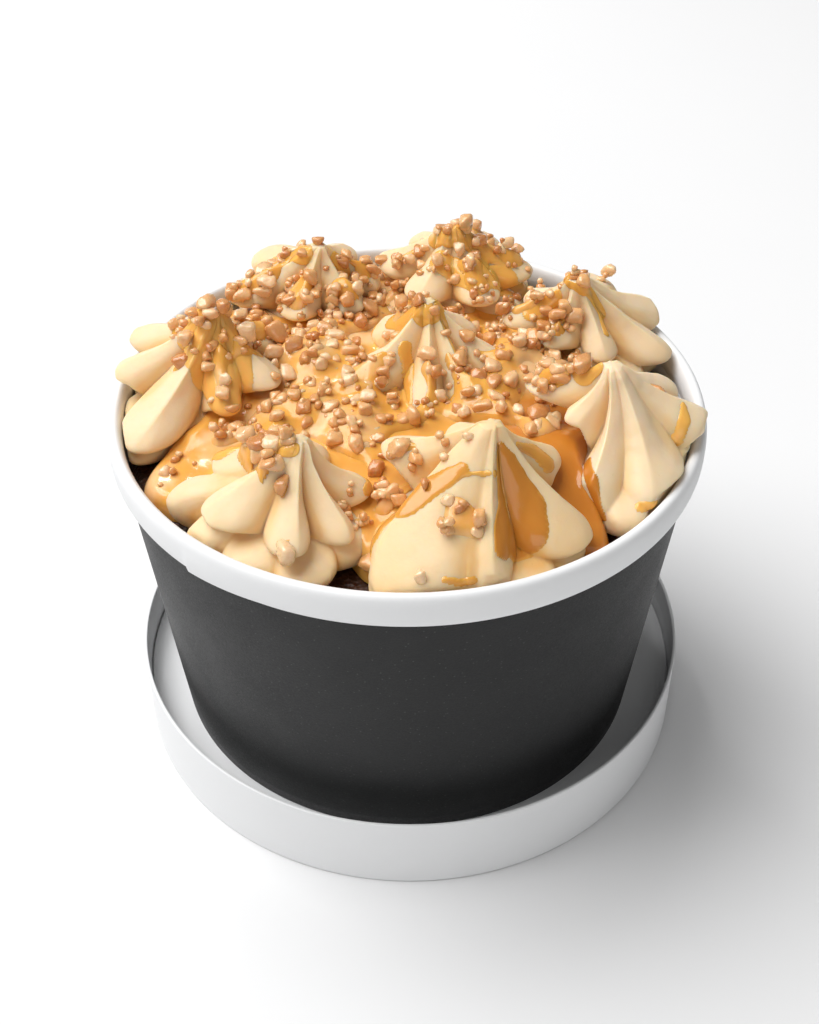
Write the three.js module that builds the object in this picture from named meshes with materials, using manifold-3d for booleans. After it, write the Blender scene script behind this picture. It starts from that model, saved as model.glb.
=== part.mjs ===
// A tiramisu dessert in a round paper cup that stands in its own upturned lid.
//
// Millimetres, +Z up. The origin is on the table, under the middle of the whole thing.
// The cup holds a dark soaked sponge. Eight rosettes of piped cream stand on it, seven in a
// ring and one in the middle, with caramel run between them and crumbs of nut brittle on top.

import * as THREE from 'three';
import { ConvexGeometry } from 'three/addons/geometries/ConvexGeometry.js';
import { mergeVertices } from 'three/addons/utils/BufferGeometryUtils.js';
import Module from 'manifold-3d';

const wasm = await Module();
wasm.setup();

// ---------------------------------------------------------------- driving dimensions

const FIT_GAP = 0.3;                 // clearance between pieces that touch

const LID = {
  radius: 49.6,                      // outside of the skirt
  height: 15.0,
  board: 0.6,
  hemBoard: 1.4,                     // the skirt folded double under the panel
  panelTop: 7.2,                     // the panel is recessed, so it stands off the table
  offsetX: 0.5,                      // the cup doesn't stand quite in the middle
  offsetY: 2.0,
};

const CUP = {
  footRadius: 41.5,
  wallRadius: 47.3,                  // outside, just under the rolled rim
  board: 0.6,
  rimRadius: 49.0,                   // outside of the roll
  rimTop: 67.0,
  rollWidth: 2.5,
  rollHeight: 5.9,
  baseRecess: 5.0,                   // the base disc sits this far above the foot
};
CUP.footZ = LID.panelTop + FIT_GAP;
CUP.rollZ = CUP.rimTop - CUP.rollHeight / 2;

const SPONGE_TOP = 60.0;
const CREAM_FLOOR = SPONGE_TOP + FIT_GAP;

const AROUND = 60;                   // facets round the cup and the lid
const AROUND_HIDDEN = 40;            // facets round what lies inside them

// Each rosette: where it stands, how wide it was piped, how high, and where its tip was
// pulled to. Its upper folds hang over a ring of lower folds. A fold is [direction in
// degrees, reach, share of the height where it ends, how far on the way to the next fold the
// furrow lies, how deep that is, degrees that it turns over the height]. Drizzles of thick
// caramel lie down its side as [direction in degrees, half width in degrees, share of the
// height where it starts, and where it ends].
const ROSETTES = [
  {
    name: 'cream_front_left', x: -19.5, y: -27.5, radius: 17.5, tip: 78.5, lean: [4.0, 0.5],
    upper: [
      [-156, 12.5, 0.42, 0.62], [-76, 13.2, 0.36, 0.60], [-42, 14.5, 0.36], [4, 13.5, 0.40],
      [70, 13.0, 0.40], [140, 13.5, 0.46],
    ],
    lower: [
      [-155, 14.5, 0.42, 0.5, 0.7], [-108, 14.0, 0.32, 0.5, 0.5], [-66, 16.2, 0.28, 0.5, 0.5],
      [-24, 16.0, 0.36, 0.5, 0.6], [28, 14.5, 0.38], [80, 15.0, 0.38], [128, 15.0, 0.38],
      [172, 17.5, 0.50],
    ],
    drizzles: [[25, 16, 0.80, 0.35]],
  },
  {
    name: 'cream_front', x: 11.0, y: -29.0, radius: 18.5, tip: 82.0, lean: [1.5, 1.0],
    upper: [
      [-146, 22.5, 0.16, 0.74, 0.24, -60], [-86, 17.0, 0.20, 0.35, 1.0, 0],
      [-20, 17.0, 0.24, 0.5, 0.9], [36, 14.0, 0.44], [104, 14.0, 0.52], [150, 17.0, 0.54, 0.42],
    ],
    lower: [
      [-140, 21.5, 0.20, 0.5, 0.45], [-100, 17.5, 0.20, 0.5, 0.45],
      [-62, 17.5, 0.26, 0.5, 0.45], [-20, 16.5, 0.28, 0.5, 0.6], [25, 15.0, 0.30],
      [75, 14.0, 0.34], [120, 14.0, 0.34], [170, 16.0, 0.34],
    ],
    drizzles: [[-55, 22, 0.85, 0.25], [188, 9, 0.62, 0.35]],
  },
  {
    name: 'cream_right', x: 35.0, y: -12.0, radius: 17.0, tip: 80.5, lean: [-3.5, 1.0],
    upper: [
      [-116, 21.0, 0.16, 0.5, 0.45, 14], [-80, 16.0, 0.26, 0.60, 0.8, 16],
      [2, 13.5, 0.46, 0.5, 0.8], [55, 14.5, 0.44], [108, 12.0, 0.52], [156, 15.5, 0.62],
      [200, 10.0, 0.60],
    ],
    lower: [
      [-134, 20.0, 0.28, 0.5, 0.6], [-98, 19.0, 0.34, 0.5, 0.5], [-62, 15.5, 0.38, 0.5, 0.5],
      [-20, 13.5, 0.40, 0.5, 0.7], [30, 15.0, 0.40], [80, 15.0, 0.36], [140, 14.0, 0.36], [190, 15.0, 0.34],
    ],
    drizzles: [[-150, 12, 0.70, 0.35]],
  },
  {
    name: 'cream_back_right', x: 31.5, y: 18.0, radius: 17.0, tip: 79.5, lean: [-3.0, -2.5],
    upper: [
      [-128, 11.5, 0.52, 0.5], [-80, 12.0, 0.46, 0.5], [-30, 15.5, 0.34, 0.5, 0.7],
      [22, 15.5, 0.42, 0.5, 0.6], [80, 15.5, 0.46, 0.5, 0.6], [135, 13.5, 0.46],
      [184, 15.0, 0.54],
    ],
    lower: [
      [-152, 14.0, 0.42], [-104, 13.5, 0.40], [-56, 14.0, 0.34], [-5, 13.0, 0.32],
      [50, 12.0, 0.34], [105, 14.0, 0.34], [160, 15.0, 0.38],
    ],
    drizzles: [[-66, 9, 0.95, 0.50]],
  },
  {
    name: 'cream_back', x: 8.5, y: 34.0, radius: 18.0, tip: 79.5, lean: [-1.0, -1.0],
    upper: [
      [-122, 12.5, 0.50], [-64, 13.0, 0.50], [2, 14.5, 0.48], [60, 15.0, 0.48, 0.5, 0.7],
      [112, 15.0, 0.46, 0.5, 0.7], [160, 14.5, 0.48],
    ],
    lower: [
      [-150, 15.0, 0.40], [-92, 13.5, 0.42], [-36, 15.0, 0.42], [25, 15.0, 0.38],
      [80, 13.0, 0.34], [135, 14.0, 0.36],
    ],
    drizzles: [[-60, 32, 0.95, 0.52], [-150, 14, 0.95, 0.60]],
  },
  {
    name: 'cream_back_left', x: -18.0, y: 30.0, radius: 18.0, tip: 79.0, lean: [3.0, -2.5],
    upper: [
      [-166, 15.0, 0.48], [-100, 12.0, 0.50], [-46, 12.5, 0.50], [8, 13.5, 0.46],
      [65, 15.0, 0.48, 0.5, 0.7], [125, 15.5, 0.50, 0.5, 0.7],
    ],
    lower: [
      [-135, 15.0, 0.40], [-74, 14.0, 0.42], [-20, 15.0, 0.40], [35, 15.0, 0.36],
      [90, 13.0, 0.34], [155, 14.0, 0.40],
    ],
    drizzles: [[-150, 16, 0.85, 0.52]],
  },
  {
    name: 'cream_left', x: -34.5, y: 5.0, radius: 18.5, tip: 79.5, lean: [3.5, 0.0],
    upper: [
      [-170, 15.0, 0.46, 0.42, 0.8], [-114, 20.5, 0.24, 0.60, 1.0, 26],
      [-66, 14.0, 0.42, 0.5, 0.7], [-30, 14.5, 0.50, 0.5], [35, 13.5, 0.50],
      [95, 16.0, 0.46, 0.5, 0.7], [145, 15.5, 0.50, 0.5, 0.7],
    ],
    lower: [
      [-146, 15.5, 0.30], [-116, 20.0, 0.24], [-84, 17.5, 0.28], [-50, 16.0, 0.36],
      [-6, 15.0, 0.36], [50, 15.0, 0.38], [105, 15.0, 0.36], [165, 13.0, 0.36],
    ],
    drizzles: [[-62, 22, 0.95, 0.45], [-8, 16, 0.95, 0.50]],
  },
  {
    name: 'cream_centre', x: 4.0, y: 7.5, radius: 15.5, tip: 79.5, lean: [-0.5, 1.5],
    upper: [
      [-146, 17.0, 0.40, 0.5, 0.8], [-94, 16.5, 0.30, 0.5, 0.6], [-62, 16.5, 0.34, 0.5, 0.8],
      [-20, 14.0, 0.46], [60, 12.0, 0.46], [130, 12.5, 0.46],
    ],
    lower: [
      [-166, 13.0, 0.36], [-112, 14.0, 0.34], [-70, 14.0, 0.32], [-20, 13.5, 0.34],
      [40, 13.0, 0.36], [100, 13.0, 0.36], [150, 13.0, 0.36],
    ],
    drizzles: [[-130, 9, 0.90, 0.40], [-54, 8, 0.95, 0.40]],
  },
];
const FURROW_PLACE = 0.5;            // where a fold's last three numbers aren't given
const FURROW_DEPTH = 1.0;
const FOLD_TURN = 10;
const UNTURNED_SHARE = 0.4;          // where the folds point the way that they are given

// Share of a fold's reach, and of the rosette's radius along a furrow, from just under the
// fold's end, which hangs over, up to the tip.
const FOLD_CURVE = [
  [-0.22, 0.30], [-0.13, 0.62], [-0.05, 0.89], [0.03, 1.00], [0.12, 0.98], [0.25, 0.86],
  [0.40, 0.66], [0.55, 0.47], [0.70, 0.32], [0.84, 0.205], [0.94, 0.14], [1.00, 0.085],
];
const FURROW_CURVE = [
  [-0.22, 0.40], [0.00, 0.40], [0.13, 0.38], [0.25, 0.33], [0.40, 0.26], [0.55, 0.19],
  [0.70, 0.14], [0.84, 0.105], [0.94, 0.08], [1.00, 0.05],
];

// Share of a lower fold's reach, from its foot to where it is past its end.
const LOWER_CURVE = [
  [0.00, 0.80], [0.20, 0.93], [0.45, 1.00], [0.68, 0.98], [0.86, 0.87], [1.00, 0.66],
  [1.15, 0.36], [1.40, 0.05],
];
const LOWER_DIP = 0.34;              // how deep the lower furrows are, as a share
const LOWER_CREASE = 0.5;            // how softly the upper folds meet the lower
const RING_SHARES = [0, 0.14, 0.24, 0.32, 0.39, 0.46, 0.55, 0.66, 0.79, 0.92];
const STEPS_PER_FOLD = 5;
const DRIZZLE_DEPTH = 0.7;
const PRESS = 2.0;                   // how softly a rosette flattens against what it meets

// Caramel between the rosettes: its level in the middle and at the wall, the tongues that
// reach out between two rosettes as [direction in degrees, reach, width in degrees], and
// where it was poured thick as [x, y, spread, rise].
const CARAMEL = {
  level: 67.8,
  wallLevel: 64.0,
  reach: 33.0,
  fallStart: 16.0,
  fallEnd: 46.0,
  tongues: [[-50, 13, 10], [-153, 13, 15], [-97, 6, 7], [97, 11, 10], [143, 10, 10]],
  mounds: [
    [24, -18, 8, 4.2], [-5, 37, 9, 3.2], [-14, 5, 10, 3.0], [-30, 22, 8, 3.6], [18, 5, 9, 2.6],
  ],
};

// Crumbs of nut brittle, in heaps: [x, y, spread, count, smallest radius, largest radius].
const CRUMB_SEED = 20;
const CRUMB_HEAPS = [
  [-6.8, -42.4, 0, 1, 1.8, 1.8],
  [-20, -41.4, 0, 1, 1.8, 1.8],
  [39.5, -8.1, 0, 1, 1.4, 1.4],
  [-13, 7, 7.0, 17, 1.0, 1.6],
  [-22, 18, 5.0, 8, 1.0, 1.6],
  [-8, -9, 6.0, 10, 1.0, 1.6],
  [-4, -18, 4.0, 5, 1.0, 1.6],
  [21, 2, 6.0, 12, 1.0, 1.7],
  [15, -8, 4.0, 4, 1.0, 1.5],
  [4, 9, 5.0, 6, 0.9, 1.3],
  [10, 32, 6.5, 9, 1.0, 1.5],
  [28, 18, 6.0, 8, 0.9, 1.4],
  [-31, 6, 5.0, 7, 1.0, 1.5],
  [-22, -23, 4.0, 3, 1.0, 1.8],
  [8, -34, 7.0, 4, 0.9, 1.1],
  [10, 30.5, 3.0, 6, 1.1, 1.6],
  [-17, 27.5, 3.0, 6, 1.1, 1.6],
];
const CRUMB_SINK = 0.35;             // share of a crumb's radius that is pressed in
const CRUMB_CORNERS = 9;

const LOOKS = {
  darkBoard: { color: 0x333538, roughness: 0.62, metalness: 0 },
  whiteBoard: { color: 0xeeeff0, roughness: 0.55, metalness: 0 },
  sponge: { color: 0x3c1e0f, roughness: 0.8, metalness: 0 },
  cream: { color: 0xf6e2ba, roughness: 0.45, metalness: 0 },
  caramel: { color: 0xb9762f, roughness: 0.12, metalness: 0 },
};

// ---------------------------------------------------------------- geometry helpers

function signedVolume(geometry) {
  const at = geometry.attributes.position;
  const order = geometry.index.array;
  const [a, b, c] = [new THREE.Vector3(), new THREE.Vector3(), new THREE.Vector3()];
  let volume = 0;
  for (let i = 0; i < order.length; i += 3) {
    a.fromBufferAttribute(at, order[i]);
    b.fromBufferAttribute(at, order[i + 1]);
    c.fromBufferAttribute(at, order[i + 2]);
    volume += a.dot(b.cross(c)) / 6;
  }
  return volume;
}

// Joins shared vertices and turns the faces outward.
function closed(geometry) {
  geometry.deleteAttribute('normal');
  geometry.deleteAttribute('uv');
  const merged = mergeVertices(geometry, 1e-3);
  if (signedVolume(merged) < 0) {
    const order = merged.index.array;
    for (let i = 0; i < order.length; i += 3) {
      [order[i + 1], order[i + 2]] = [order[i + 2], order[i + 1]];
    }
  }
  return merged;
}

function toSolid(geometry) {
  return new wasm.Manifold(new wasm.Mesh({
    numProp: 3,
    vertProperties: new Float32Array(geometry.attributes.position.array),
    triVerts: new Uint32Array(geometry.index.array),
  }));
}

function toGeometry(solid) {
  const mesh = solid.getMesh();
  const geometry = new THREE.BufferGeometry();
  geometry.setAttribute('position', new THREE.BufferAttribute(mesh.vertProperties, 3));
  geometry.setIndex(new THREE.BufferAttribute(mesh.triVerts, 1));
  return geometry;
}

// The largest of the separate bodies of a solid.
function largestBody(solid) {
  const bodies = solid.decompose();
  bodies.sort((a, b) => b.volume() - a.volume());
  return bodies[0];
}

// A body of revolution about Z from [radius, height] points.
function turned(profile, facets = AROUND) {
  const points = profile.map(([radius, height]) => new THREE.Vector2(radius, height));
  return closed(new THREE.LatheGeometry(points, facets).rotateX(Math.PI / 2));
}

// A closed skin over rings of equally many points, with a point to close each end.
function skinned(rings, first, last) {
  const columns = rings[0].length;
  const points = [first, ...rings.flat(), last];
  const lastIndex = points.length - 1;
  const order = [];
  for (let j = 0; j < columns; j += 1) {
    const k = (j + 1) % columns;
    order.push(0, 1 + k, 1 + j);
    for (let i = 0; i + 1 < rings.length; i += 1) {
      const [a, b] = [1 + i * columns + j, 1 + i * columns + k];
      order.push(a, b, b + columns, a, b + columns, a + columns);
    }
    const top = 1 + (rings.length - 1) * columns;
    order.push(top + j, top + k, lastIndex);
  }
  const geometry = new THREE.BufferGeometry();
  geometry.setAttribute('position', new THREE.Float32BufferAttribute(points.flat(), 3));
  geometry.setIndex(order);
  return closed(geometry);
}

// ---------------------------------------------------------------- numbers

function softMin(a, b, softness) {
  const near = Math.max(softness - Math.abs(a - b), 0) / softness;
  return Math.min(a, b) - near * near * softness / 4;
}

function smoothStep(from, to, value) {
  const share = Math.min(Math.max((value - from) / (to - from), 0), 1);
  return share * share * (3 - 2 * share);
}

// A smooth curve through [place, value] knots.
function curveAt(knots, place) {
  let i = 0;
  while (i < knots.length - 2 && place > knots[i + 1][0]) i += 1;
  const slope = (k) => {
    const [before, after] = [knots[Math.max(k - 1, 0)], knots[Math.min(k + 1, knots.length - 1)]];
    return (after[1] - before[1]) / (after[0] - before[0]);
  };
  const [x0, y0] = knots[i];
  const [x1, y1] = knots[i + 1];
  const span = x1 - x0;
  const s = (place - x0) / span;
  const [s2, s3] = [s * s, s * s * s];
  return (2 * s3 - 3 * s2 + 1) * y0 + (s3 - 2 * s2 + s) * span * slope(i)
    + (3 * s2 - 2 * s3) * y1 + (s3 - s2) * span * slope(i + 1);
}

// Repeatable random numbers from 0 to 1.
function drawer(seed) {
  let state = seed;
  return () => {
    state = (state + 0x6d2b79f5) | 0;
    let mixed = Math.imul(state ^ (state >>> 15), 1 | state);
    mixed = (mixed + Math.imul(mixed ^ (mixed >>> 7), 61 | mixed)) ^ mixed;
    return ((mixed ^ (mixed >>> 14)) >>> 0) / 4294967296;
  };
}

// ---------------------------------------------------------------- cup and lid

function wallOutside(z) {
  const top = CUP.rimTop - CUP.rollHeight;
  return CUP.footRadius + (CUP.wallRadius - CUP.footRadius) * (z - CUP.footZ) / (top - CUP.footZ);
}

function wallInside(z) {
  return wallOutside(z) - CUP.board;
}

// The conical wall with its tall rolled rim.
function cupSide() {
  const rollRadius = CUP.rimRadius - CUP.rollWidth / 2;
  const profile = [[CUP.footRadius, CUP.footZ]];
  const [rollFrom, rollTo, rollSteps] = [-105, 180, 9];
  for (let i = 0; i <= rollSteps; i += 1) {
    const angle = THREE.MathUtils.degToRad(rollFrom + (rollTo - rollFrom) * i / rollSteps);
    profile.push([
      rollRadius + CUP.rollWidth / 2 * Math.cos(angle),
      CUP.rollZ + CUP.rollHeight / 2 * Math.sin(angle),
    ]);
  }
  const underRoll = CUP.rollZ - CUP.rollHeight / 3;
  profile.push([wallInside(underRoll), underRoll]);
  profile.push([wallInside(CUP.footZ), CUP.footZ]);
  profile.push(profile[0]);
  return turned(profile);
}

function cupBase() {
  const bottom = CUP.footZ + CUP.baseRecess;
  const radius = wallInside(bottom) - FIT_GAP;
  const top = bottom + CUP.board;
  return turned([[0, bottom], [radius, bottom], [radius, top], [0, top]], AROUND_HIDDEN);
}

// The skirt of the lid, folded double below the panel that it grips.
function lidSkirt() {
  const inside = LID.radius - LID.board;
  const hemInside = LID.radius - LID.hemBoard;
  const hemTop = LID.panelTop - LID.board - FIT_GAP;
  return turned([
    [hemInside, 0], [LID.radius, 0], [LID.radius, LID.height], [inside, LID.height],
    [inside, hemTop], [hemInside, hemTop], [hemInside, 0],
  ]);
}

function lidPanel() {
  const radius = LID.radius - LID.board - FIT_GAP;
  const bottom = LID.panelTop - LID.board;
  const profile = [[0, bottom], [radius, bottom], [radius, LID.panelTop], [0, LID.panelTop]];
  return turned(profile, AROUND_HIDDEN);
}

function spongeBody() {
  const bottom = CUP.footZ + CUP.baseRecess + CUP.board + FIT_GAP;
  const side = (z) => wallInside(z) - FIT_GAP;
  const shoulder = SPONGE_TOP - 1.5;
  return turned([
    [0, bottom], [side(bottom), bottom], [side(shoulder), shoulder],
    [side(shoulder) - 1.5, SPONGE_TOP], [0, SPONGE_TOP],
  ], AROUND_HIDDEN);
}

// ---------------------------------------------------------------- piped cream

// How far out the cream may lie at a height: inside the wall, then over the rolled rim.
function creamLimit(z) {
  const insideRoll = CUP.rimRadius - CUP.rollWidth - FIT_GAP;
  const inside = Math.min(wallInside(z) - FIT_GAP, insideRoll);
  const overRim = smoothStep(CUP.rimTop + FIT_GAP, CUP.rimTop + 1.6, z);
  return inside + (CUP.rimRadius - 0.8 - inside) * overRim;
}

// Where the axis of a rosette is at a share of its height: the tip was pulled aside.
function axisAt(rosette, share) {
  const bend = share * share;
  return [rosette.x + rosette.lean[0] * bend, rosette.y + rosette.lean[1] * bend];
}

// The direction in degrees of one of the folds; the last is the first, once more round.
function foldDirection(folds, i, share) {
  const [direction, , , , , turn = FOLD_TURN] = folds[i % folds.length];
  return direction + turn * (share - UNTURNED_SHARE) + (i < folds.length ? 0 : 360);
}

// The direction of a place among the folds: whole on a fold, and a half in a furrow.
function placeDirection(folds, place, share) {
  const i = Math.floor(place) % folds.length;
  const along = place - Math.floor(place);
  const [first, last] = [foldDirection(folds, i, share), foldDirection(folds, i + 1, share)];
  const furrow = folds[i][3] ?? FURROW_PLACE;
  const warped = along < 0.5 ? 2 * along * furrow : furrow + (2 * along - 1) * (1 - furrow);
  return THREE.MathUtils.degToRad(first + (last - first) * warped);
}

// The place among the folds of a direction.
function foldPlace(folds, direction, share) {
  const start = foldDirection(folds, 0, share);
  const degrees = THREE.MathUtils.radToDeg(direction);
  const past = THREE.MathUtils.euclideanModulo(degrees - start, 360) + start;
  let i = folds.length - 1;
  while (i > 0 && past < foldDirection(folds, i, share)) i -= 1;
  const [first, last] = [foldDirection(folds, i, share), foldDirection(folds, i + 1, share)];
  const along = (past - first) / (last - first);
  const furrow = folds[i][3] ?? FURROW_PLACE;
  return i + (along < furrow ? 0.5 * along / furrow : 0.5 + 0.5 * (along - furrow) / (1 - furrow));
}

// The reach or the end of the folds at a place, blended from one fold to the next.
function blended(folds, index, place) {
  const i = Math.floor(place) % folds.length;
  const [here, next] = [folds[i][index], folds[(i + 1) % folds.length][index]];
  return here + (next - here) * smoothStep(0.25, 0.75, place - Math.floor(place));
}

function furrowDepth(folds, place) {
  return folds[Math.floor(place) % folds.length][4] ?? FURROW_DEPTH;
}

// How far out the upper folds stand: round at their ends and pulled to an edge higher up.
function upperRadius({ upper, radius }, direction, share) {
  const place = foldPlace(upper, direction, share);
  const end = blended(upper, 2, place);
  const up = Math.max((share - end) / (1 - end), FOLD_CURVE[0][0]);
  const across = 2 * Math.abs(place - Math.round(place));
  const rounded = Math.cos(0.5 * Math.PI * across) ** 0.8;
  const edged = (1 - across) ** 1.15;
  const stand = rounded + (edged - rounded) * smoothStep(0.05, 0.5, up);
  const fold = curveAt(FOLD_CURVE, up) * blended(upper, 1, place);
  const furrow = curveAt(FURROW_CURVE, up) * radius;
  const dipped = 1 - furrowDepth(upper, place) * (1 - stand);
  return furrow + Math.max(fold - furrow, 0) * dipped;
}

// How far out the lower folds stand, which is nothing above their ends.
function lowerRadius({ lower }, direction, share) {
  const place = foldPlace(lower, direction, share);
  const across = 2 * Math.abs(place - Math.round(place));
  const rounded = Math.cos(0.5 * Math.PI * across) ** 0.7;
  const level = Math.min(share / blended(lower, 2, place), LOWER_CURVE.at(-1)[0]);
  const waist = 1 - LOWER_DIP * furrowDepth(lower, place) * (1 - rounded);
  return curveAt(LOWER_CURVE, level) * blended(lower, 1, place) * waist;
}

// How thick the caramel drizzled down a side lies.
function drizzleDepth({ drizzles }, direction, share) {
  let depth = 0;
  for (const [middle, width, from, to] of drizzles) {
    const off = Math.abs(THREE.MathUtils.euclideanModulo(
      THREE.MathUtils.radToDeg(direction) - middle + 180, 360) - 180);
    const along = smoothStep(from + 0.05, from - 0.05, share) * smoothStep(to - 0.05, to + 0.02, share);
    depth = Math.max(depth, DRIZZLE_DEPTH * along * smoothStep(width, width * 0.6, off));
  }
  return depth;
}

function neighboursOf(rosette) {
  return ROSETTES.filter((other) => other !== rosette).map((other) => {
    const [dx, dy] = [other.x - rosette.x, other.y - rosette.y];
    const apart = Math.hypot(dx, dy);
    const near = apart * rosette.radius / (rosette.radius + other.radius) - FIT_GAP / 2;
    return { nx: dx / apart, ny: dy / apart, near, apart, reach: rosette.radius + other.radius };
  }).filter(({ apart, reach }) => apart < reach + 2);
}

// Distance from a rosette's axis to its surface at a direction and a share of its height.
function creamRadius(rosette, neighbours, direction, share, grow = 0) {
  const folds = -softMin(
    -upperRadius(rosette, direction, share), -lowerRadius(rosette, direction, share), LOWER_CREASE,
  );
  let radius = folds + drizzleDepth(rosette, direction, share);
  const [ax, ay] = axisAt(rosette, share);
  const [ux, uy] = [Math.cos(direction), Math.sin(direction)];
  for (const { nx, ny, near } of neighbours) {
    const towards = ux * nx + uy * ny;
    if (towards > 0.15) {
      const free = near - (ax - rosette.x) * nx - (ay - rosette.y) * ny;
      radius = softMin(radius, free / towards, PRESS);
    }
  }
  const z = CREAM_FLOOR + share * (rosette.tip - CREAM_FLOOR);
  const limit = creamLimit(z);
  const along = ax * ux + ay * uy;
  const toWall = -along + Math.sqrt(along * along + limit * limit - ax * ax - ay * ay);
  return softMin(radius, toWall, 0.8) + grow;
}

function rosetteGeometry(rosette, grow = 0) {
  const neighbours = neighboursOf(rosette);
  const columns = rosette.upper.length * STEPS_PER_FOLD;
  const height = rosette.tip - CREAM_FLOOR;
  const rings = RING_SHARES.map((share) => {
    const [ax, ay] = axisAt(rosette, share);
    return Array.from({ length: columns }, (_, j) => {
      const direction = placeDirection(rosette.upper, j / STEPS_PER_FOLD, share);
      const radius = creamRadius(rosette, neighbours, direction, share, grow);
      const z = CREAM_FLOOR + share * height - (share === 0 ? grow : 0);
      return [ax + radius * Math.cos(direction), ay + radius * Math.sin(direction), z];
    });
  });
  const [tipX, tipY] = axisAt(rosette, 1);
  return skinned(rings, [rosette.x, rosette.y, CREAM_FLOOR - grow], [tipX, tipY, rosette.tip + grow]);
}

// ---------------------------------------------------------------- caramel

function caramelReach(direction) {
  let reach = CARAMEL.reach;
  for (const [middle, more, width] of CARAMEL.tongues) {
    const off = Math.abs(THREE.MathUtils.euclideanModulo(
      THREE.MathUtils.radToDeg(direction) - middle + 180, 360) - 180);
    reach += more * Math.exp(-((off / width) ** 2));
  }
  return Math.min(reach, wallInside(CARAMEL.wallLevel) - FIT_GAP);
}

function caramelLevel(x, y) {
  const out = smoothStep(CARAMEL.fallStart, CARAMEL.fallEnd, Math.hypot(x, y));
  let level = CARAMEL.level + (CARAMEL.wallLevel - CARAMEL.level) * out;
  for (const [middleX, middleY, spread, rise] of CARAMEL.mounds) {
    level += rise * Math.exp(-((x - middleX) ** 2 + (y - middleY) ** 2) / spread ** 2);
  }
  return level;
}

// A low mound with tongues, before the rosettes are cut out of it.
function caramelMound() {
  const columns = 40;
  const shares = [1.0, 0.95, 0.82, 0.66, 0.50, 0.34, 0.17];
  const ringAt = (share, lift) => Array.from({ length: columns }, (_, j) => {
    const direction = 2 * Math.PI * j / columns;
    const radius = caramelReach(direction) * share;
    const [x, y] = [radius * Math.cos(direction), radius * Math.sin(direction)];
    return [x, y, CREAM_FLOOR + (caramelLevel(x, y) - CREAM_FLOOR) * lift];
  });
  const rings = [ringAt(0.99, 0), ...shares.map((share, i) => ringAt(share, i ? 1 : 0.5))];
  return skinned(rings, [0, 0, CREAM_FLOOR], [0, 0, caramelLevel(0, 0)]);
}

// ---------------------------------------------------------------- crumbs

function insideCream(rosette, neighbours, x, y, z) {
  const share = (z - CREAM_FLOOR) / (rosette.tip - CREAM_FLOOR);
  if (share < 0 || share > 1) return false;
  const [ax, ay] = axisAt(rosette, share);
  const distance = Math.hypot(x - ax, y - ay);
  return distance < creamRadius(rosette, neighbours, Math.atan2(y - ay, x - ax), share);
}

// The topmost surface at a place: its height and which piece it belongs to.
function surfaceAt(x, y, creams) {
  const step = 0.25;
  for (let z = 82; z > CREAM_FLOOR; z -= step) {
    for (const { rosette, neighbours } of creams) {
      if (insideCream(rosette, neighbours, x, y, z)) return { owner: rosette.name, z: z + step / 2 };
    }
    if (z < caramelLevel(x, y) && Math.hypot(x, y) < caramelReach(Math.atan2(y, x))) {
      return { owner: 'caramel_pool', z };
    }
  }
  return null;
}

// An irregular chip with flat sides.
function crumbGeometry(draw, radius) {
  const corners = [];
  const start = draw() * 2 * Math.PI;
  for (let i = 0; i < CRUMB_CORNERS; i += 1) {
    const up = 1 - 2 * (i + 0.5) / CRUMB_CORNERS;
    const turn = start + i * 2.4;
    const flat = Math.sqrt(1 - up * up);
    const far = radius * (0.8 + 0.4 * draw());
    corners.push(new THREE.Vector3(flat * Math.cos(turn), flat * Math.sin(turn), 0.8 * up)
      .multiplyScalar(far));
  }
  return closed(new ConvexGeometry(corners));
}

function scatterCrumbs() {
  const creams = ROSETTES.map((rosette) => ({ rosette, neighbours: neighboursOf(rosette) }));
  const draw = drawer(CRUMB_SEED);
  const crumbs = [];
  for (const [x0, y0, spread, count, small, large] of CRUMB_HEAPS) {
    for (let i = 0; i < count; i += 1) {
      const turn = draw() * 2 * Math.PI;
      const away = spread * Math.sqrt(-Math.log(1 - 0.9 * draw()));
      const radius = small + (large - small) * draw() ** 2;
      const geometry = crumbGeometry(draw, radius);
      const [x, y] = [x0 + away * Math.cos(turn), y0 + away * Math.sin(turn)];
      const crowded = crumbs.some((other) => Math.hypot(other.x - x, other.y - y)
        < 0.9 * (other.radius + radius));
      const under = crowded ? null : surfaceAt(x, y, creams);
      if (under) {
        geometry.translate(x, y, under.z + radius * (0.8 - CRUMB_SINK));
        crumbs.push({ x, y, radius, owner: under.owner, geometry });
      }
    }
  }
  return crumbs;
}

// ---------------------------------------------------------------- the whole

const tiramisu = new THREE.Group();

function add(name, geometry, look, x = 0, y = 0) {
  const mesh = new THREE.Mesh(geometry, new THREE.MeshStandardMaterial(look));
  mesh.name = name;
  mesh.position.set(x, y, 0);
  tiramisu.add(mesh);
}

// The rim of the cup reaches past the lid in front, which the origin's place allows for.
const LID_Y = (CUP.rimRadius + LID.offsetY - LID.radius) / 2;
const CUP_PLACE = [-LID.offsetX, LID_Y - LID.offsetY];

add('lid_skirt', lidSkirt(), LOOKS.whiteBoard, 0, LID_Y);
add('lid_panel', lidPanel(), LOOKS.whiteBoard, 0, LID_Y);
add('cup_side', cupSide(), LOOKS.darkBoard, ...CUP_PLACE);
add('cup_base', cupBase(), LOOKS.whiteBoard, ...CUP_PLACE);
add('sponge', spongeBody(), LOOKS.sponge, ...CUP_PLACE);

const bare = new Map(ROSETTES.map((rosette) => [rosette.name, toSolid(rosetteGeometry(rosette))]));
let caramel = toSolid(caramelMound());
for (const rosette of ROSETTES) {
  caramel = caramel.subtract(toSolid(rosetteGeometry(rosette, FIT_GAP)));
}
bare.set('caramel_pool', largestBody(caramel));

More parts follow.
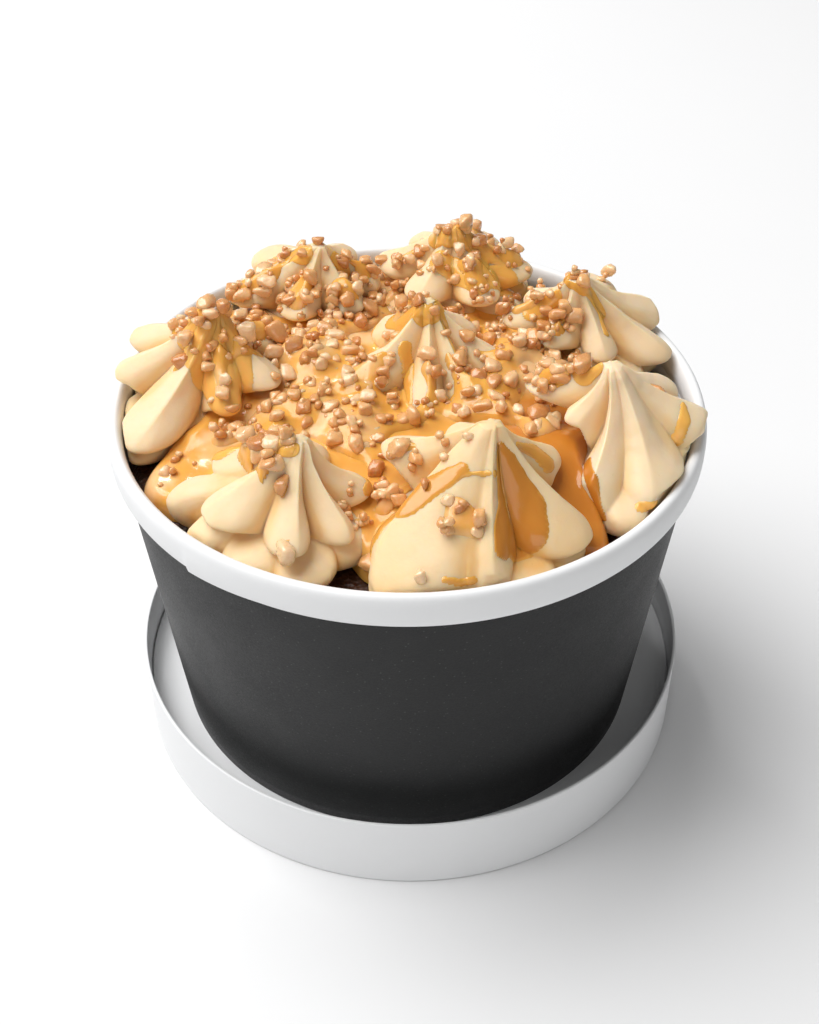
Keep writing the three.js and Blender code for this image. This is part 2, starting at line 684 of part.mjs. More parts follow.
const dressed = new Map(bare);
for (const { owner, geometry } of scatterCrumbs()) {
  const crumb = toSolid(geometry);
  const clear = [...dressed].every(([name, solid]) => name === owner
    || crumb.intersect(solid).isEmpty());
  if (clear && !crumb.intersect(bare.get(owner)).isEmpty()) {
    dressed.set(owner, dressed.get(owner).add(crumb));
  }
}
for (const [name, solid] of dressed) {
  const look = name === 'caramel_pool' ? LOOKS.caramel : LOOKS.cream;
  add(name, toGeometry(largestBody(solid)), look, ...CUP_PLACE);
}

export default tiramisu;
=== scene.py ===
"""A tiramisu dessert in a round paper cup that stands in its own upturned lid.

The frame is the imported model's: metres, +Z up, the origin on the table under the middle.
Sizes below are in millimetres, and become metres where a mesh is made. What belongs to the
cup is measured from the cup's own axis, which stands at CUP_PLACE.
"""

import logging
import math
from dataclasses import dataclass, field
from enum import Enum
from typing import Mapping, Sequence, Union

import bpy
import numpy as np
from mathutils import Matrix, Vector, noise
from mathutils.bvhtree import BVHTree


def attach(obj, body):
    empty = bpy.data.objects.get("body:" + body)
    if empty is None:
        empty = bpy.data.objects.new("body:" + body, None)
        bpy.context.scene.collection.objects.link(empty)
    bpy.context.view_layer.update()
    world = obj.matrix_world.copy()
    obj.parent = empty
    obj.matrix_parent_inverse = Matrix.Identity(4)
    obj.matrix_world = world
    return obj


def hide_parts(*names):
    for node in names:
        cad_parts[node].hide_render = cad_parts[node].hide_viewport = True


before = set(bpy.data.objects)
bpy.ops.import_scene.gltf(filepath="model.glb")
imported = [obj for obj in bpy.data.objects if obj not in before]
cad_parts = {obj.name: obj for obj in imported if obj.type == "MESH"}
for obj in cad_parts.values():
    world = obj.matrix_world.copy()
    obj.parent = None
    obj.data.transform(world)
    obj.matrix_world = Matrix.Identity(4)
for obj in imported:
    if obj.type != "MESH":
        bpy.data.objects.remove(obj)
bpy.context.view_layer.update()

log = logging.getLogger("tiramisu")

MM = 0.001
CUP_PLACE = (-0.5, -1.3)
LID_PLACE = (0.0, 0.7)
FIT_GAP = 0.3
CREAM_FLOOR = 60.3
SKY = 95.0
DOWN = Vector((0.0, 0.0, -1.0))

Array = np.ndarray
Colour = tuple[float, float, float]
Point = tuple[float, float]


class Slot(Enum):
    """The record's material slots."""

    DARK_BOARD = "dark_board"
    WHITE_BOARD = "white_board"
    SPONGE = "sponge"
    CREAM = "cream"
    CARAMEL = "caramel"
    BRITTLE = "brittle"


# ------------------------------------------------------------------ numbers


def smooth_step(start: float, end: float, value: Array) -> Array:
    """Rises smoothly from 0 at start to 1 at end.

    Args:
        start: Where it is 0. It may lie above end.
        end: Where it is 1.
        value: Where to read it.

    Returns:
        The share from 0 to 1.
    """
    share = np.clip((value - start) / (end - start), 0.0, 1.0)
    return share * share * (3.0 - 2.0 * share)


def soft_min(first: Array, second: Array, softness: float) -> Array:
    """The smaller of two values, rounded where they meet.

    Args:
        first: One value.
        second: The other value.
        softness: How far apart they may be and still blend.

    Returns:
        The blended minimum.
    """
    near = np.maximum(softness - np.abs(first - second), 0.0) / softness
    return np.minimum(first, second) - near * near * softness / 4.0


def curve_at(knots: Sequence[Point], place: Array) -> Array:
    """A smooth curve through knots.

    Args:
        knots: (place, value) pairs in ascending order of place.
        place: Where to read the curve.

    Returns:
        The curve's values.
    """
    at = np.array([k[0] for k in knots])
    value = np.array([k[1] for k in knots])
    before = np.maximum(np.arange(len(at)) - 1, 0)
    after = np.minimum(np.arange(len(at)) + 1, len(at) - 1)
    slope = (value[after] - value[before]) / (at[after] - at[before])
    i = np.clip(np.searchsorted(at, place, side="left") - 1, 0, len(at) - 2)
    span = at[i + 1] - at[i]
    s = (place - at[i]) / span
    s2, s3 = s * s, s * s * s
    return (
        (2 * s3 - 3 * s2 + 1) * value[i]
        + (s3 - 2 * s2 + s) * span * slope[i]
        + (3 * s2 - 2 * s3) * value[i + 1]
        + (s3 - s2) * span * slope[i + 1]
    )


def angle_between(first: Array, second: float) -> Array:
    """The unsigned angle in degrees between directions in degrees.

    Args:
        first: Directions.
        second: The direction to compare with.

    Returns:
        Angles from 0 to 180.
    """
    return np.abs(np.mod(first - second + 180.0, 360.0) - 180.0)


def lumps(points: Array, size: float, seed: float) -> Array:
    """Smooth noise in space.

    Args:
        points: Points in millimetres, one in each row.
        size: The size of a lump in millimetres.
        seed: Picks another part of the same noise.

    Returns:
        A value from about -1 to 1 for each point.
    """
    shifted = np.asarray(points, float) / size + seed * 17.31
    return np.array([noise.noise(Vector(p)) for p in shifted.reshape(-1, 3)])


class Draw:
    """Repeatable random numbers from 0 to 1, the same that the solids are made with."""

    WORD = 0xFFFFFFFF

    def __init__(self, seed: int) -> None:
        """Args: seed: Where the row of numbers starts."""
        self.state = seed

    def __call__(self) -> float:
        """Draws once.

        Returns:
            The next number.
        """
        self.state = (self.state + 0x6D2B79F5) & self.WORD
        mixed = ((self.state ^ (self.state >> 15)) * (1 | self.state)) & self.WORD
        mixed = (mixed + (((mixed ^ (mixed >> 7)) * (61 | mixed)) & self.WORD)) & self.WORD ^ mixed
        return ((mixed ^ (mixed >> 14)) & self.WORD) / 4294967296.0


# ------------------------------------------------------------------ meshes


@dataclass
class Skin:
    """Points in millimetres and the faces between them."""

    points: Array
    faces: list[Sequence[int]]
    marks: dict[str, Array] = field(default_factory=dict)
    slots: Array | None = None

    @staticmethod
    def joined(parts: Sequence["Skin"]) -> "Skin":
        """Several skins as one.

        Args:
            parts: The skins, which carry the same marks.

        Returns:
            One skin with all their points and faces.
        """
        faces: list[Sequence[int]] = []
        start = 0
        for part in parts:
            faces.extend([[i + start for i in face] for face in part.faces])
            start += len(part.points)
        marks = {
            name: np.concatenate([part.marks[name] for part in parts]) for name in parts[0].marks
        }
        return Skin(np.concatenate([part.points for part in parts]), faces, marks)

    def tree(self) -> BVHTree:
        """A tree for rays against this skin, in millimetres."""
        return BVHTree.FromPolygons([tuple(p) for p in self.points], [tuple(f) for f in self.faces])

    def piece(self, name: str, place: Point, finishes: Sequence[bpy.types.Material],
              slot: Slot, replaces: Sequence[str] = ()) -> bpy.types.Object:
        """Makes the Blender object that stands for this skin.

        Args:
            name: The piece's name.
            place: Where its own origin stands, in millimetres.
            finishes: Its materials.
            slot: The record's slot that it takes its finish from.
            replaces: The solids that it stands for.

        Returns:
            The object, riding on the part's one body.
        """
        points = (self.points + np.array([place[0], place[1], 0.0])) * MM
        mesh = bpy.data.meshes.new(name)
        mesh.from_pydata([tuple(p) for p in points], [], [tuple(f) for f in self.faces])
        for finish in finishes:
            mesh.materials.append(finish)
        if self.slots is not None:
            mesh.polygons.foreach_set("material_index", self.slots.astype(np.int32))
        for mark, values in self.marks.items():
            layer = mesh.attributes.new(mark, "FLOAT", "POINT")
            layer.data.foreach_set("value", np.asarray(values, np.float32))
        mesh.polygons.foreach_set("use_smooth", np.ones(len(self.faces), bool))
        mesh.update()
        made = bpy.data.objects.new(name, mesh)
        bpy.context.scene.collection.objects.link(made)
        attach(made, "root")
        if replaces:
            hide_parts(*replaces)
        log.info("%s: %d faces, slot %s", name, len(self.faces), slot.value)
        return made


def rounded(corners: Sequence[tuple[float, float, float]], steps: int = 5) -> list[Point]:
    """A closed outline with its corners rounded.

    Args:
        corners: (radius, height, rounding) of each corner, in millimetres.
        steps: Points on each rounded corner, less one.

    Returns:
        The outline's points.
    """
    outline: list[Point] = []
    for i, (x, y, size) in enumerate(corners):
        here = np.array([x, y])
        if size <= 0.0:
            outline.append((x, y))
            continue
        back = np.array(corners[i - 1][:2]) - here
        ahead = np.array(corners[(i + 1) % len(corners)][:2]) - here
        first = here + back / np.linalg.norm(back) * size
        last = here + ahead / np.linalg.norm(ahead) * size
        for k in range(steps + 1):
            s = k / steps
            at = (1 - s) ** 2 * first + 2 * s * (1 - s) * here + s * s * last
            outline.append((float(at[0]), float(at[1])))
    return outline


def swept(outline: Sequence[Point], facets: int) -> Array:
    """The points of an outline at even steps round the axis.

    Args:
        outline: (radius, height) pairs in millimetres.
        facets: Steps round the axis.

    Returns:
        The points, step by step, one in each row.
    """
    turns = np.arange(facets) * 2 * math.pi / facets
    radius, height = np.array(outline, float).T
    x, y = np.outer(np.cos(turns), radius), np.outer(np.sin(turns), radius)
    return np.stack([x, y, np.tile(height, (facets, 1))], axis=-1).reshape(-1, 3)


def turned(outline: Sequence[Point], facets: int = 240) -> Skin:
    """A body of revolution round the axis.

    Args:
        outline: A closed outline, counter-clockwise with radius to the right.
        facets: Steps round the axis.

    Returns:
        The closed skin.
    """
    count = len(outline)
    faces = []
    for j in range(facets):
        k = (j + 1) % facets
        for i in range(count):
            n = (i + 1) % count
            faces.append((j * count + i, k * count + i, k * count + n, j * count + n))
    return Skin(swept(outline, facets), faces)


def closed(grid: Array, bottom: Sequence[float], top: Sequence[float]) -> Skin:
    """A skin over rings of points, with a point to close each end.

    Args:
        grid: The points, by ring from the bottom up and by column round the axis.
        bottom: The point that closes the lowest ring.
        top: The point that closes the highest ring.

    Returns:
        The closed skin, with the two points last.
    """
    rings, columns = grid.shape[:2]
    points = np.vstack([grid.reshape(-1, 3), bottom, top])
    low, high = len(points) - 2, len(points) - 1
    faces: list[Sequence[int]] = []
    for i in range(rings - 1):
        for j in range(columns):
            k = (j + 1) % columns
            faces.append((i * columns + j, i * columns + k,
                          (i + 1) * columns + k, (i + 1) * columns + j))
    last = (rings - 1) * columns
    for j in range(columns):
        k = (j + 1) % columns
        faces.append((low, k, j))
        faces.append((last + j, last + k, high))
    return Skin(points, faces)


def turned_solid(outline: Sequence[Point], facets: int = 240) -> Skin:
    """A body of revolution whose outline starts and ends on the axis.

    Args:
        outline: From the point on the axis at the bottom to the one at the top.
        facets: Steps round the axis.

    Returns:
        The closed skin.
    """
    grid = swept(outline[1:-1], facets).reshape(facets, -1, 3).swapaxes(0, 1)
    return closed(grid, (0, 0, outline[0][1]), (0, 0, outline[-1][1]))


# ------------------------------------------------------------------ materials


class Signal:
    """A value that runs through a material's nodes. Arithmetic on it adds Math nodes."""

    def __init__(self, paint: "Paint", socket: bpy.types.NodeSocket) -> None:
        """Args: paint: The material it belongs to. socket: The output that it comes from."""
        self.paint = paint
        self.socket = socket

    def _math(self, operation: str, first: "Operand", second: "Operand") -> "Signal":
        """One Math node.

        Args:
            operation: The Math node's operation.
            first: Its first value.
            second: Its second value.

        Returns:
            What comes out of it.
        """
        return self.paint.add("ShaderNodeMath", {"operation": operation}, {0: first, 1: second})

    def __add__(self, other: "Operand") -> "Signal":
        """Sum."""
        return self._math("ADD", self, other)

    __radd__ = __add__

    def __mul__(self, other: "Operand") -> "Signal":
        """Product."""
        return self._math("MULTIPLY", self, other)

    __rmul__ = __mul__

    def __sub__(self, other: "Operand") -> "Signal":
        """Difference."""
        return self._math("SUBTRACT", self, other)


Operand = Union[Signal, float]
SocketValue = Union[Signal, float, Sequence[float]]


class Paint:
    """A material that is put together from procedural nodes."""

    def __init__(self, name: str) -> None:
        """Args: name: The material's name."""
        self.material = bpy.data.materials.new(name)
        self.material.use_nodes = True
        self.tree = self.material.node_tree
        self.shader = self.tree.nodes["Principled BSDF"]

    def add(self, kind: str, settings: Mapping[str, object] | None = None,
            inputs: Mapping[Union[str, int], SocketValue] | None = None,
            output: Union[str, int] = 0) -> Signal:
        """Adds a node.

        Args:
            kind: The node's type.
            settings: What is set on it first. "stops" sets a ramp's (place, colour) stops.
            inputs: Its sockets' values or links.
            output: Which of its outputs to use.

        Returns:
            The value from that output.
        """
        node = self.tree.nodes.new(kind)
        for name, value in (settings or {}).items():
            if name == "stops":
                self._set_stops(node.color_ramp, value)
            else:
                setattr(node, name, value)
        for key, value in (inputs or {}).items():
            self.feed(node.inputs[key], value)
        return Signal(self, node.outputs[output])

    @staticmethod
    def _set_stops(ramp: bpy.types.ColorRamp, stops: Sequence[tuple[float, Colour]]) -> None:
        """Sets a ramp's stops.

        Args:
            ramp: The ramp.
            stops: (place, colour) pairs in ascending order.
        """
        while len(ramp.elements) < len(stops):
            ramp.elements.new(0.5)
        for element, (place, colour) in zip(ramp.elements, stops):
            element.position = place
            element.color = (*colour, 1.0)

    def feed(self, socket: bpy.types.NodeSocket, value: SocketValue) -> None:
        """Links or sets one input.

        Args:
            socket: The input.
            value: A signal to link, or a constant.
        """
        if isinstance(value, Signal):
            self.tree.links.new(value.socket, socket)
        elif isinstance(value, (int, float)):
            socket.default_value = value
        else:
            want = len(socket.default_value)
            socket.default_value = tuple(value) if len(value) == want else (*value, 1.0)

    def place(self) -> Signal:
        """The object's own coordinates, in metres."""
        return self.add("ShaderNodeTexCoord", output="Object")

    def mark(self, name: str) -> Signal:
        """A number kept on the mesh's points."""
        return self.add("ShaderNodeAttribute", {"attribute_name": name}, output="Fac")

    def clouds(self, place: Signal, size: float, detail: float = 2.0,
               roughness: float = 0.5) -> Signal:
        """Soft noise.

        Args:
            place: The coordinates.
            size: The size of a patch in millimetres.
            detail: Octaves.
            roughness: How strong the finer octaves are.

        Returns:
            A value from 0 to 1.
        """
        return self.add("ShaderNodeTexNoise", {"noise_dimensions": "3D"}, {
            "Vector": place, "Scale": 1.0 / (size * MM), "Detail": detail, "Roughness": roughness,
        })

    def cells(self, place: Signal, size: float) -> Signal:
        """Distance to the nearest of scattered points.

        Args:
            place: The coordinates.
            size: How far apart they lie, in millimetres.

        Returns:
            The distance as a share of size.
        """
        return self.add("ShaderNodeTexVoronoi", {}, {"Vector": place, "Scale": 1.0 / (size * MM)})

    def stretch(self, value: Signal, low: float, high: float) -> Signal:
        """Maps low to 0 and high to 1, smoothly and without passing them."""
        return self.add("ShaderNodeMapRange", {"interpolation_type": "SMOOTHSTEP"},
                        {"Value": value, "From Min": low, "From Max": high})

    def span(self, share: Signal, ends: Point) -> Signal:
        """Maps 0 to the first of a pair and 1 to the second."""
        return share * (ends[1] - ends[0]) + ends[0]

    def ramp(self, value: Signal, stops: Sequence[tuple[float, Colour]]) -> Signal:
        """Colours along a value."""
        return self.add("ShaderNodeValToRGB", {"stops": stops}, {0: value})

    def blend(self, factor: SocketValue, first: SocketValue, second: SocketValue) -> Signal:
        """Mixes two colours: the factor says how much of the second."""
        return self.add("ShaderNodeMix", {"data_type": "RGBA"},
                        {0: factor, 6: first, 7: second}, output=2)

    def bump(self, height: Signal, depth: float, under: Signal | None = None) -> Signal:
        """A normal from a height.

        Args:
            height: The relief, 0 to 1.
            depth: Its depth in millimetres.
            under: A coarser relief's normal.

        Returns:
            The normal.
        """
        inputs: dict[Union[str, int], SocketValue] = {
            "Height": height, "Distance": depth * MM, "Strength": 1.0,
        }
        if under is not None:
            inputs["Normal"] = under
        return self.add("ShaderNodeBump", {}, inputs)

    def finish(self, **sockets: SocketValue) -> bpy.types.Material:
        """Sets the shader's sockets.

        Args:
            sockets: Values by socket name, with _ for a space.

        Returns:
            The finished material.
        """
        for name, value in sockets.items():
            self.feed(self.shader.inputs[name.replace("_", " ")], value)
        return self.material


# In each finish, sizes and reliefs are in millimetres, and a pair is (least, most).


@dataclass(frozen=True)
class DarkBoardFinish:
    """Charcoal paper board with a fine matt grain and a few pale specks."""

    dark: Colour = (0.0025, 0.0027, 0.0029)
    light: Colour = (0.0070, 0.0073, 0.0077)
    speck: Colour = (0.075, 0.075, 0.072)
    speck_share: float = 0.35
    speck_apart: float = 1.1
    grain: float = 0.35
    patch: float = 9.0
    roughness: Point = (0.46, 0.60)
    gloss: float = 0.36
    relief: float = 0.028

    def material(self) -> bpy.types.Material:
        """Mixes the finish.

        Returns:
            The board's material.
        """
        paint = Paint("dark_board")
        place = paint.place()
        grain = paint.clouds(place, self.grain, 3.0, 0.7)
        cloud = paint.clouds(place, self.patch, 3.0, 0.6)
        specks = paint.stretch(paint.cells(place, self.speck_apart), 0.16, 0.08)
        tone = paint.stretch(grain * 0.7 + cloud * 0.3, 0.36, 0.66)
        base = paint.blend(tone, self.dark, self.light)
        return paint.finish(
            Base_Color=paint.blend(specks * self.speck_share, base, self.speck),
            Roughness=paint.span(tone, self.roughness),
            Specular_IOR_Level=self.gloss,
            Normal=paint.bump(grain, self.relief),
        )


@dataclass(frozen=True)
class WhiteBoardFinish:
    """White paper board with a faint fibre."""

    white: Colour = (0.84, 0.845, 0.85)
    shade: Colour = (0.79, 0.795, 0.80)
    fibre: float = 0.5
    wave: float = 14.0
    roughness: Point = (0.42, 0.54)
    gloss: float = 0.4
    fibre_relief: float = 0.010
    wave_relief: float = 0.12

    def material(self) -> bpy.types.Material:
        """Mixes the finish.

        Returns:
            The board's material.
        """
        paint = Paint("white_board")
        place = paint.place()
        fibre = paint.clouds(place, self.fibre, 4.0, 0.65)
        wave = paint.clouds(place, self.wave, 2.0, 0.5)
        return paint.finish(
            Base_Color=paint.blend(fibre * 0.4 + wave * 0.6, self.shade, self.white),
            Roughness=paint.span(fibre, self.roughness),
            Specular_IOR_Level=self.gloss,
            Normal=paint.bump(fibre, self.fibre_relief, paint.bump(wave, self.wave_relief)),
        )


@dataclass(frozen=True)
class CreamFinish:
    """Piped mascarpone cream: satin, soft to the light, with faint ripples and pores."""

    pale: Colour = (0.85, 0.68, 0.46)
    warm: Colour = (0.83, 0.60, 0.33)
    # furrow is the darkest, warmest tone, reached only deep in the furrows and low on the rosettes:
    # painted shade.
    furrow: Colour = (0.80, 0.47, 0.17)
    patch: float = 7.0
    ripple: float = 1.6
    pore_apart: float = 2.6
    roughness: Point = (0.46, 0.61)
    gloss: float = 0.30
    softness: float = 0.6
    glow: float = 2.2
    relief: float = 0.09

    def material(self) -> bpy.types.Material:
        """Mixes the finish.

        Returns:
            The cream's material.
        """
        paint = Paint("cream")
        place = paint.place()
        cloud = paint.clouds(place, self.patch, 3.0, 0.55)
        ripple = paint.clouds(place, self.ripple, 3.0, 0.5)
        # The warmth mark is each rosette's own tone plus painted shade in its furrows and towards its
        # foot.
        tint = paint.mark("warmth") * 0.6 + paint.span(paint.stretch(cloud, 0.3, 0.7), (-0.12, 0.12))
        pores = paint.stretch(paint.cells(place, self.pore_apart), 0.07, 0.02)
        return paint.finish(
            Base_Color=paint.ramp(tint, ((0.0, self.pale), (0.6, self.warm), (1.0, self.furrow))),
            Roughness=paint.span(ripple, self.roughness),
            Specular_IOR_Level=self.gloss,
            Subsurface_Weight=self.softness,
            Subsurface_Radius=(1.0, 0.62, 0.30),
            Subsurface_Scale=self.glow * MM,
            Normal=paint.bump(ripple - pores * 0.5, self.relief),
        )


@dataclass(frozen=True)
class CaramelFinish:
    """Glossy caramel sauce, amber where it lies thin and brown where it lies deep."""

    thin: Colour = (0.90, 0.51, 0.18)
    amber: Colour = (0.88, 0.45, 0.090)
    deep: Colour = (0.55, 0.20, 0.026)
    # A milky tone: random patches in the syrup, and painted sheen on the pool at the back and left.
    milky_and_sheen: Colour = (0.86, 0.56, 0.29)
    patch: float = 8.0
    ripple: float = 1.2
    roughness: Point = (0.10, 0.20)
    gloss: float = 0.35
    softness: float = 0.35
    glow: float = 1.5
    coat: float = 0.2
    coat_roughness: float = 0.05
    relief: float = 0.035

    def material(self) -> bpy.types.Material:
        """Mixes the finish.

        Returns:
            The sauce's material.
        """
        paint = Paint("caramel")
        place = paint.place()
        cloud = paint.clouds(place, self.patch, 3.0, 0.55)
        ripple = paint.clouds(place, self.ripple, 3.0, 0.6)
        stops = ((0.0, self.thin), (0.45, self.amber), (1.0, self.deep))
        # Milky patches, which on the pool at the back and left are painted sheen.
        milk = paint.stretch(cloud, 0.42, 0.66) * paint.mark("milk")
        return paint.finish(
            Base_Color=paint.blend(milk, paint.ramp(paint.mark("depth"), stops), self.milky_and_sheen),
            Roughness=paint.span(ripple, self.roughness),
            Specular_IOR_Level=self.gloss,
            Subsurface_Weight=self.softness,
            Subsurface_Radius=(1.0, 0.45, 0.15),
            Subsurface_Scale=self.glow * MM,
            Coat_Weight=self.coat,
            Coat_Roughness=self.coat_roughness,
            Normal=paint.bump(ripple, self.relief),
        )


@dataclass(frozen=True)
class BrittleFinish:
    """Crumbs of nut brittle under a thin glaze, each in a tone of its own."""

    pale: Colour = (0.88, 0.63, 0.38)
    tan: Colour = (0.76, 0.41, 0.16)
    brown: Colour = (0.53, 0.19, 0.042)
    blot: float = 0.9
    grit: float = 0.45
    roughness: Point = (0.15, 0.40)
    softness: float = 0.4
    glow: float = 0.8
    coat: float = 0.7
    coat_roughness: float = 0.06
    relief: float = 0.10

    def material(self) -> bpy.types.Material:
        """Mixes the finish.

        Returns:
            The crumbs' material.
        """
        paint = Paint("brittle")
        place = paint.place()
        blot = paint.clouds(place, self.blot, 3.0, 0.6)
        mixed = paint.mark("tone") * 0.75 + blot * 0.5 - 0.12
        return paint.finish(
            Base_Color=paint.ramp(mixed, ((0.05, self.pale), (0.5, self.tan), (0.95, self.brown))),
            Roughness=paint.span(paint.stretch(blot, 0.35, 0.65), self.roughness),
            Subsurface_Weight=self.softness,
            Subsurface_Radius=(1.0, 0.5, 0.25),
            Subsurface_Scale=self.glow * MM,
            Coat_Weight=self.coat,
            Coat_Roughness=self.coat_roughness,
            Normal=paint.bump(paint.clouds(place, self.grit, 3.0, 0.6), self.relief),
        )


@dataclass(frozen=True)
class SpongeFinish:
    """Dark soaked sponge with open pores."""

    dark: Colour = (0.022, 0.007, 0.003)
    brown: Colour = (0.085, 0.030, 0.012)
    pore_apart: float = 0.9
    patch: float = 2.5
    roughness: Point = (0.35, 0.65)
    relief: float = 0.35

    def material(self) -> bpy.types.Material:
        """Mixes the finish.

        Returns:
            The sponge's material.
        """
        paint = Paint("sponge")
        place = paint.place()
        cloud = paint.clouds(place, self.patch, 4.0, 0.6)
        return paint.finish(
            Base_Color=paint.blend(paint.stretch(cloud, 0.35, 0.7), self.dark, self.brown),
            Roughness=paint.span(cloud, self.roughness),
            Normal=paint.bump(paint.cells(place, self.pore_apart), self.relief),
        )


@dataclass(frozen=True)
class FloorFinish:
    """A plain white table."""

    white: Colour = (0.82, 0.82, 0.82)
    grey: Colour = (0.805, 0.805, 0.81)
    patch: float = 60.0
    roughness: float = 0.7
    gloss: float = 0.2

    def material(self) -> bpy.types.Material:
        """Mixes the finish.

        Returns:
            The table's material.
        """
        paint = Paint("table_white")
        cloud = paint.clouds(paint.place(), self.patch, 2.0, 0.5)
        return paint.finish(
            Base_Color=paint.blend(cloud, self.grey, self.white),
            Roughness=self.roughness,
            Specular_IOR_Level=self.gloss,
        )


# ------------------------------------------------------------------ cup and lid


@dataclass
class PaperLid:
    """The white lid, upside down, so that its skirt stands round the cup's foot."""

    radius: float = 49.6
    height: float = 15.0
    board: float = 0.6
    hem_board: float = 1.4
    panel_top: float = 7.2

    def skirt(self) -> Skin:
        """The skirt, folded double below the panel, with its edges rolled over.

        Returns:
            The closed skin.
        """
        inside = self.radius - self.board
        hem = self.radius - self.hem_board
        hem_top = self.panel_top - self.board - FIT_GAP
        return turned(rounded([
            (hem, 0.0, 0.35), (self.radius, 0.0, 0.55), (self.radius, self.height, 0.28),
            (inside, self.height, 0.28), (inside, hem_top + 0.5, 0.3), (hem, hem_top, 0.3),
        ]))

    def panel(self) -> Skin:
        """The recessed panel, with a shallow groove along the skirt.

        Returns:
            The closed skin.
        """
        edge = self.radius - self.board - FIT_GAP
        bottom, top = self.panel_top - self.board, self.panel_top
        return turned_solid([
            (0, bottom), (20, bottom), (edge - 0.3, bottom), (edge, bottom + 0.2),
            (edge, top + 0.5), (edge - 0.3, top + 0.35), (edge - 1.2, top - 0.2),
            (edge - 2.2, top - 0.3), (edge - 3.4, top - 0.22), (edge - 4.6, top), (20, top), (0, top),
        ])

    def build(self, white: bpy.types.Material) -> None:
        """Makes the lid's pieces.

        Args:
            white: The white board.
        """
        self.skirt().piece("lid_rim_wall", LID_PLACE, [white], Slot.WHITE_BOARD, ["lid_skirt"])
        self.panel().piece("lid_disc", LID_PLACE, [white], Slot.WHITE_BOARD, ["lid_panel"])


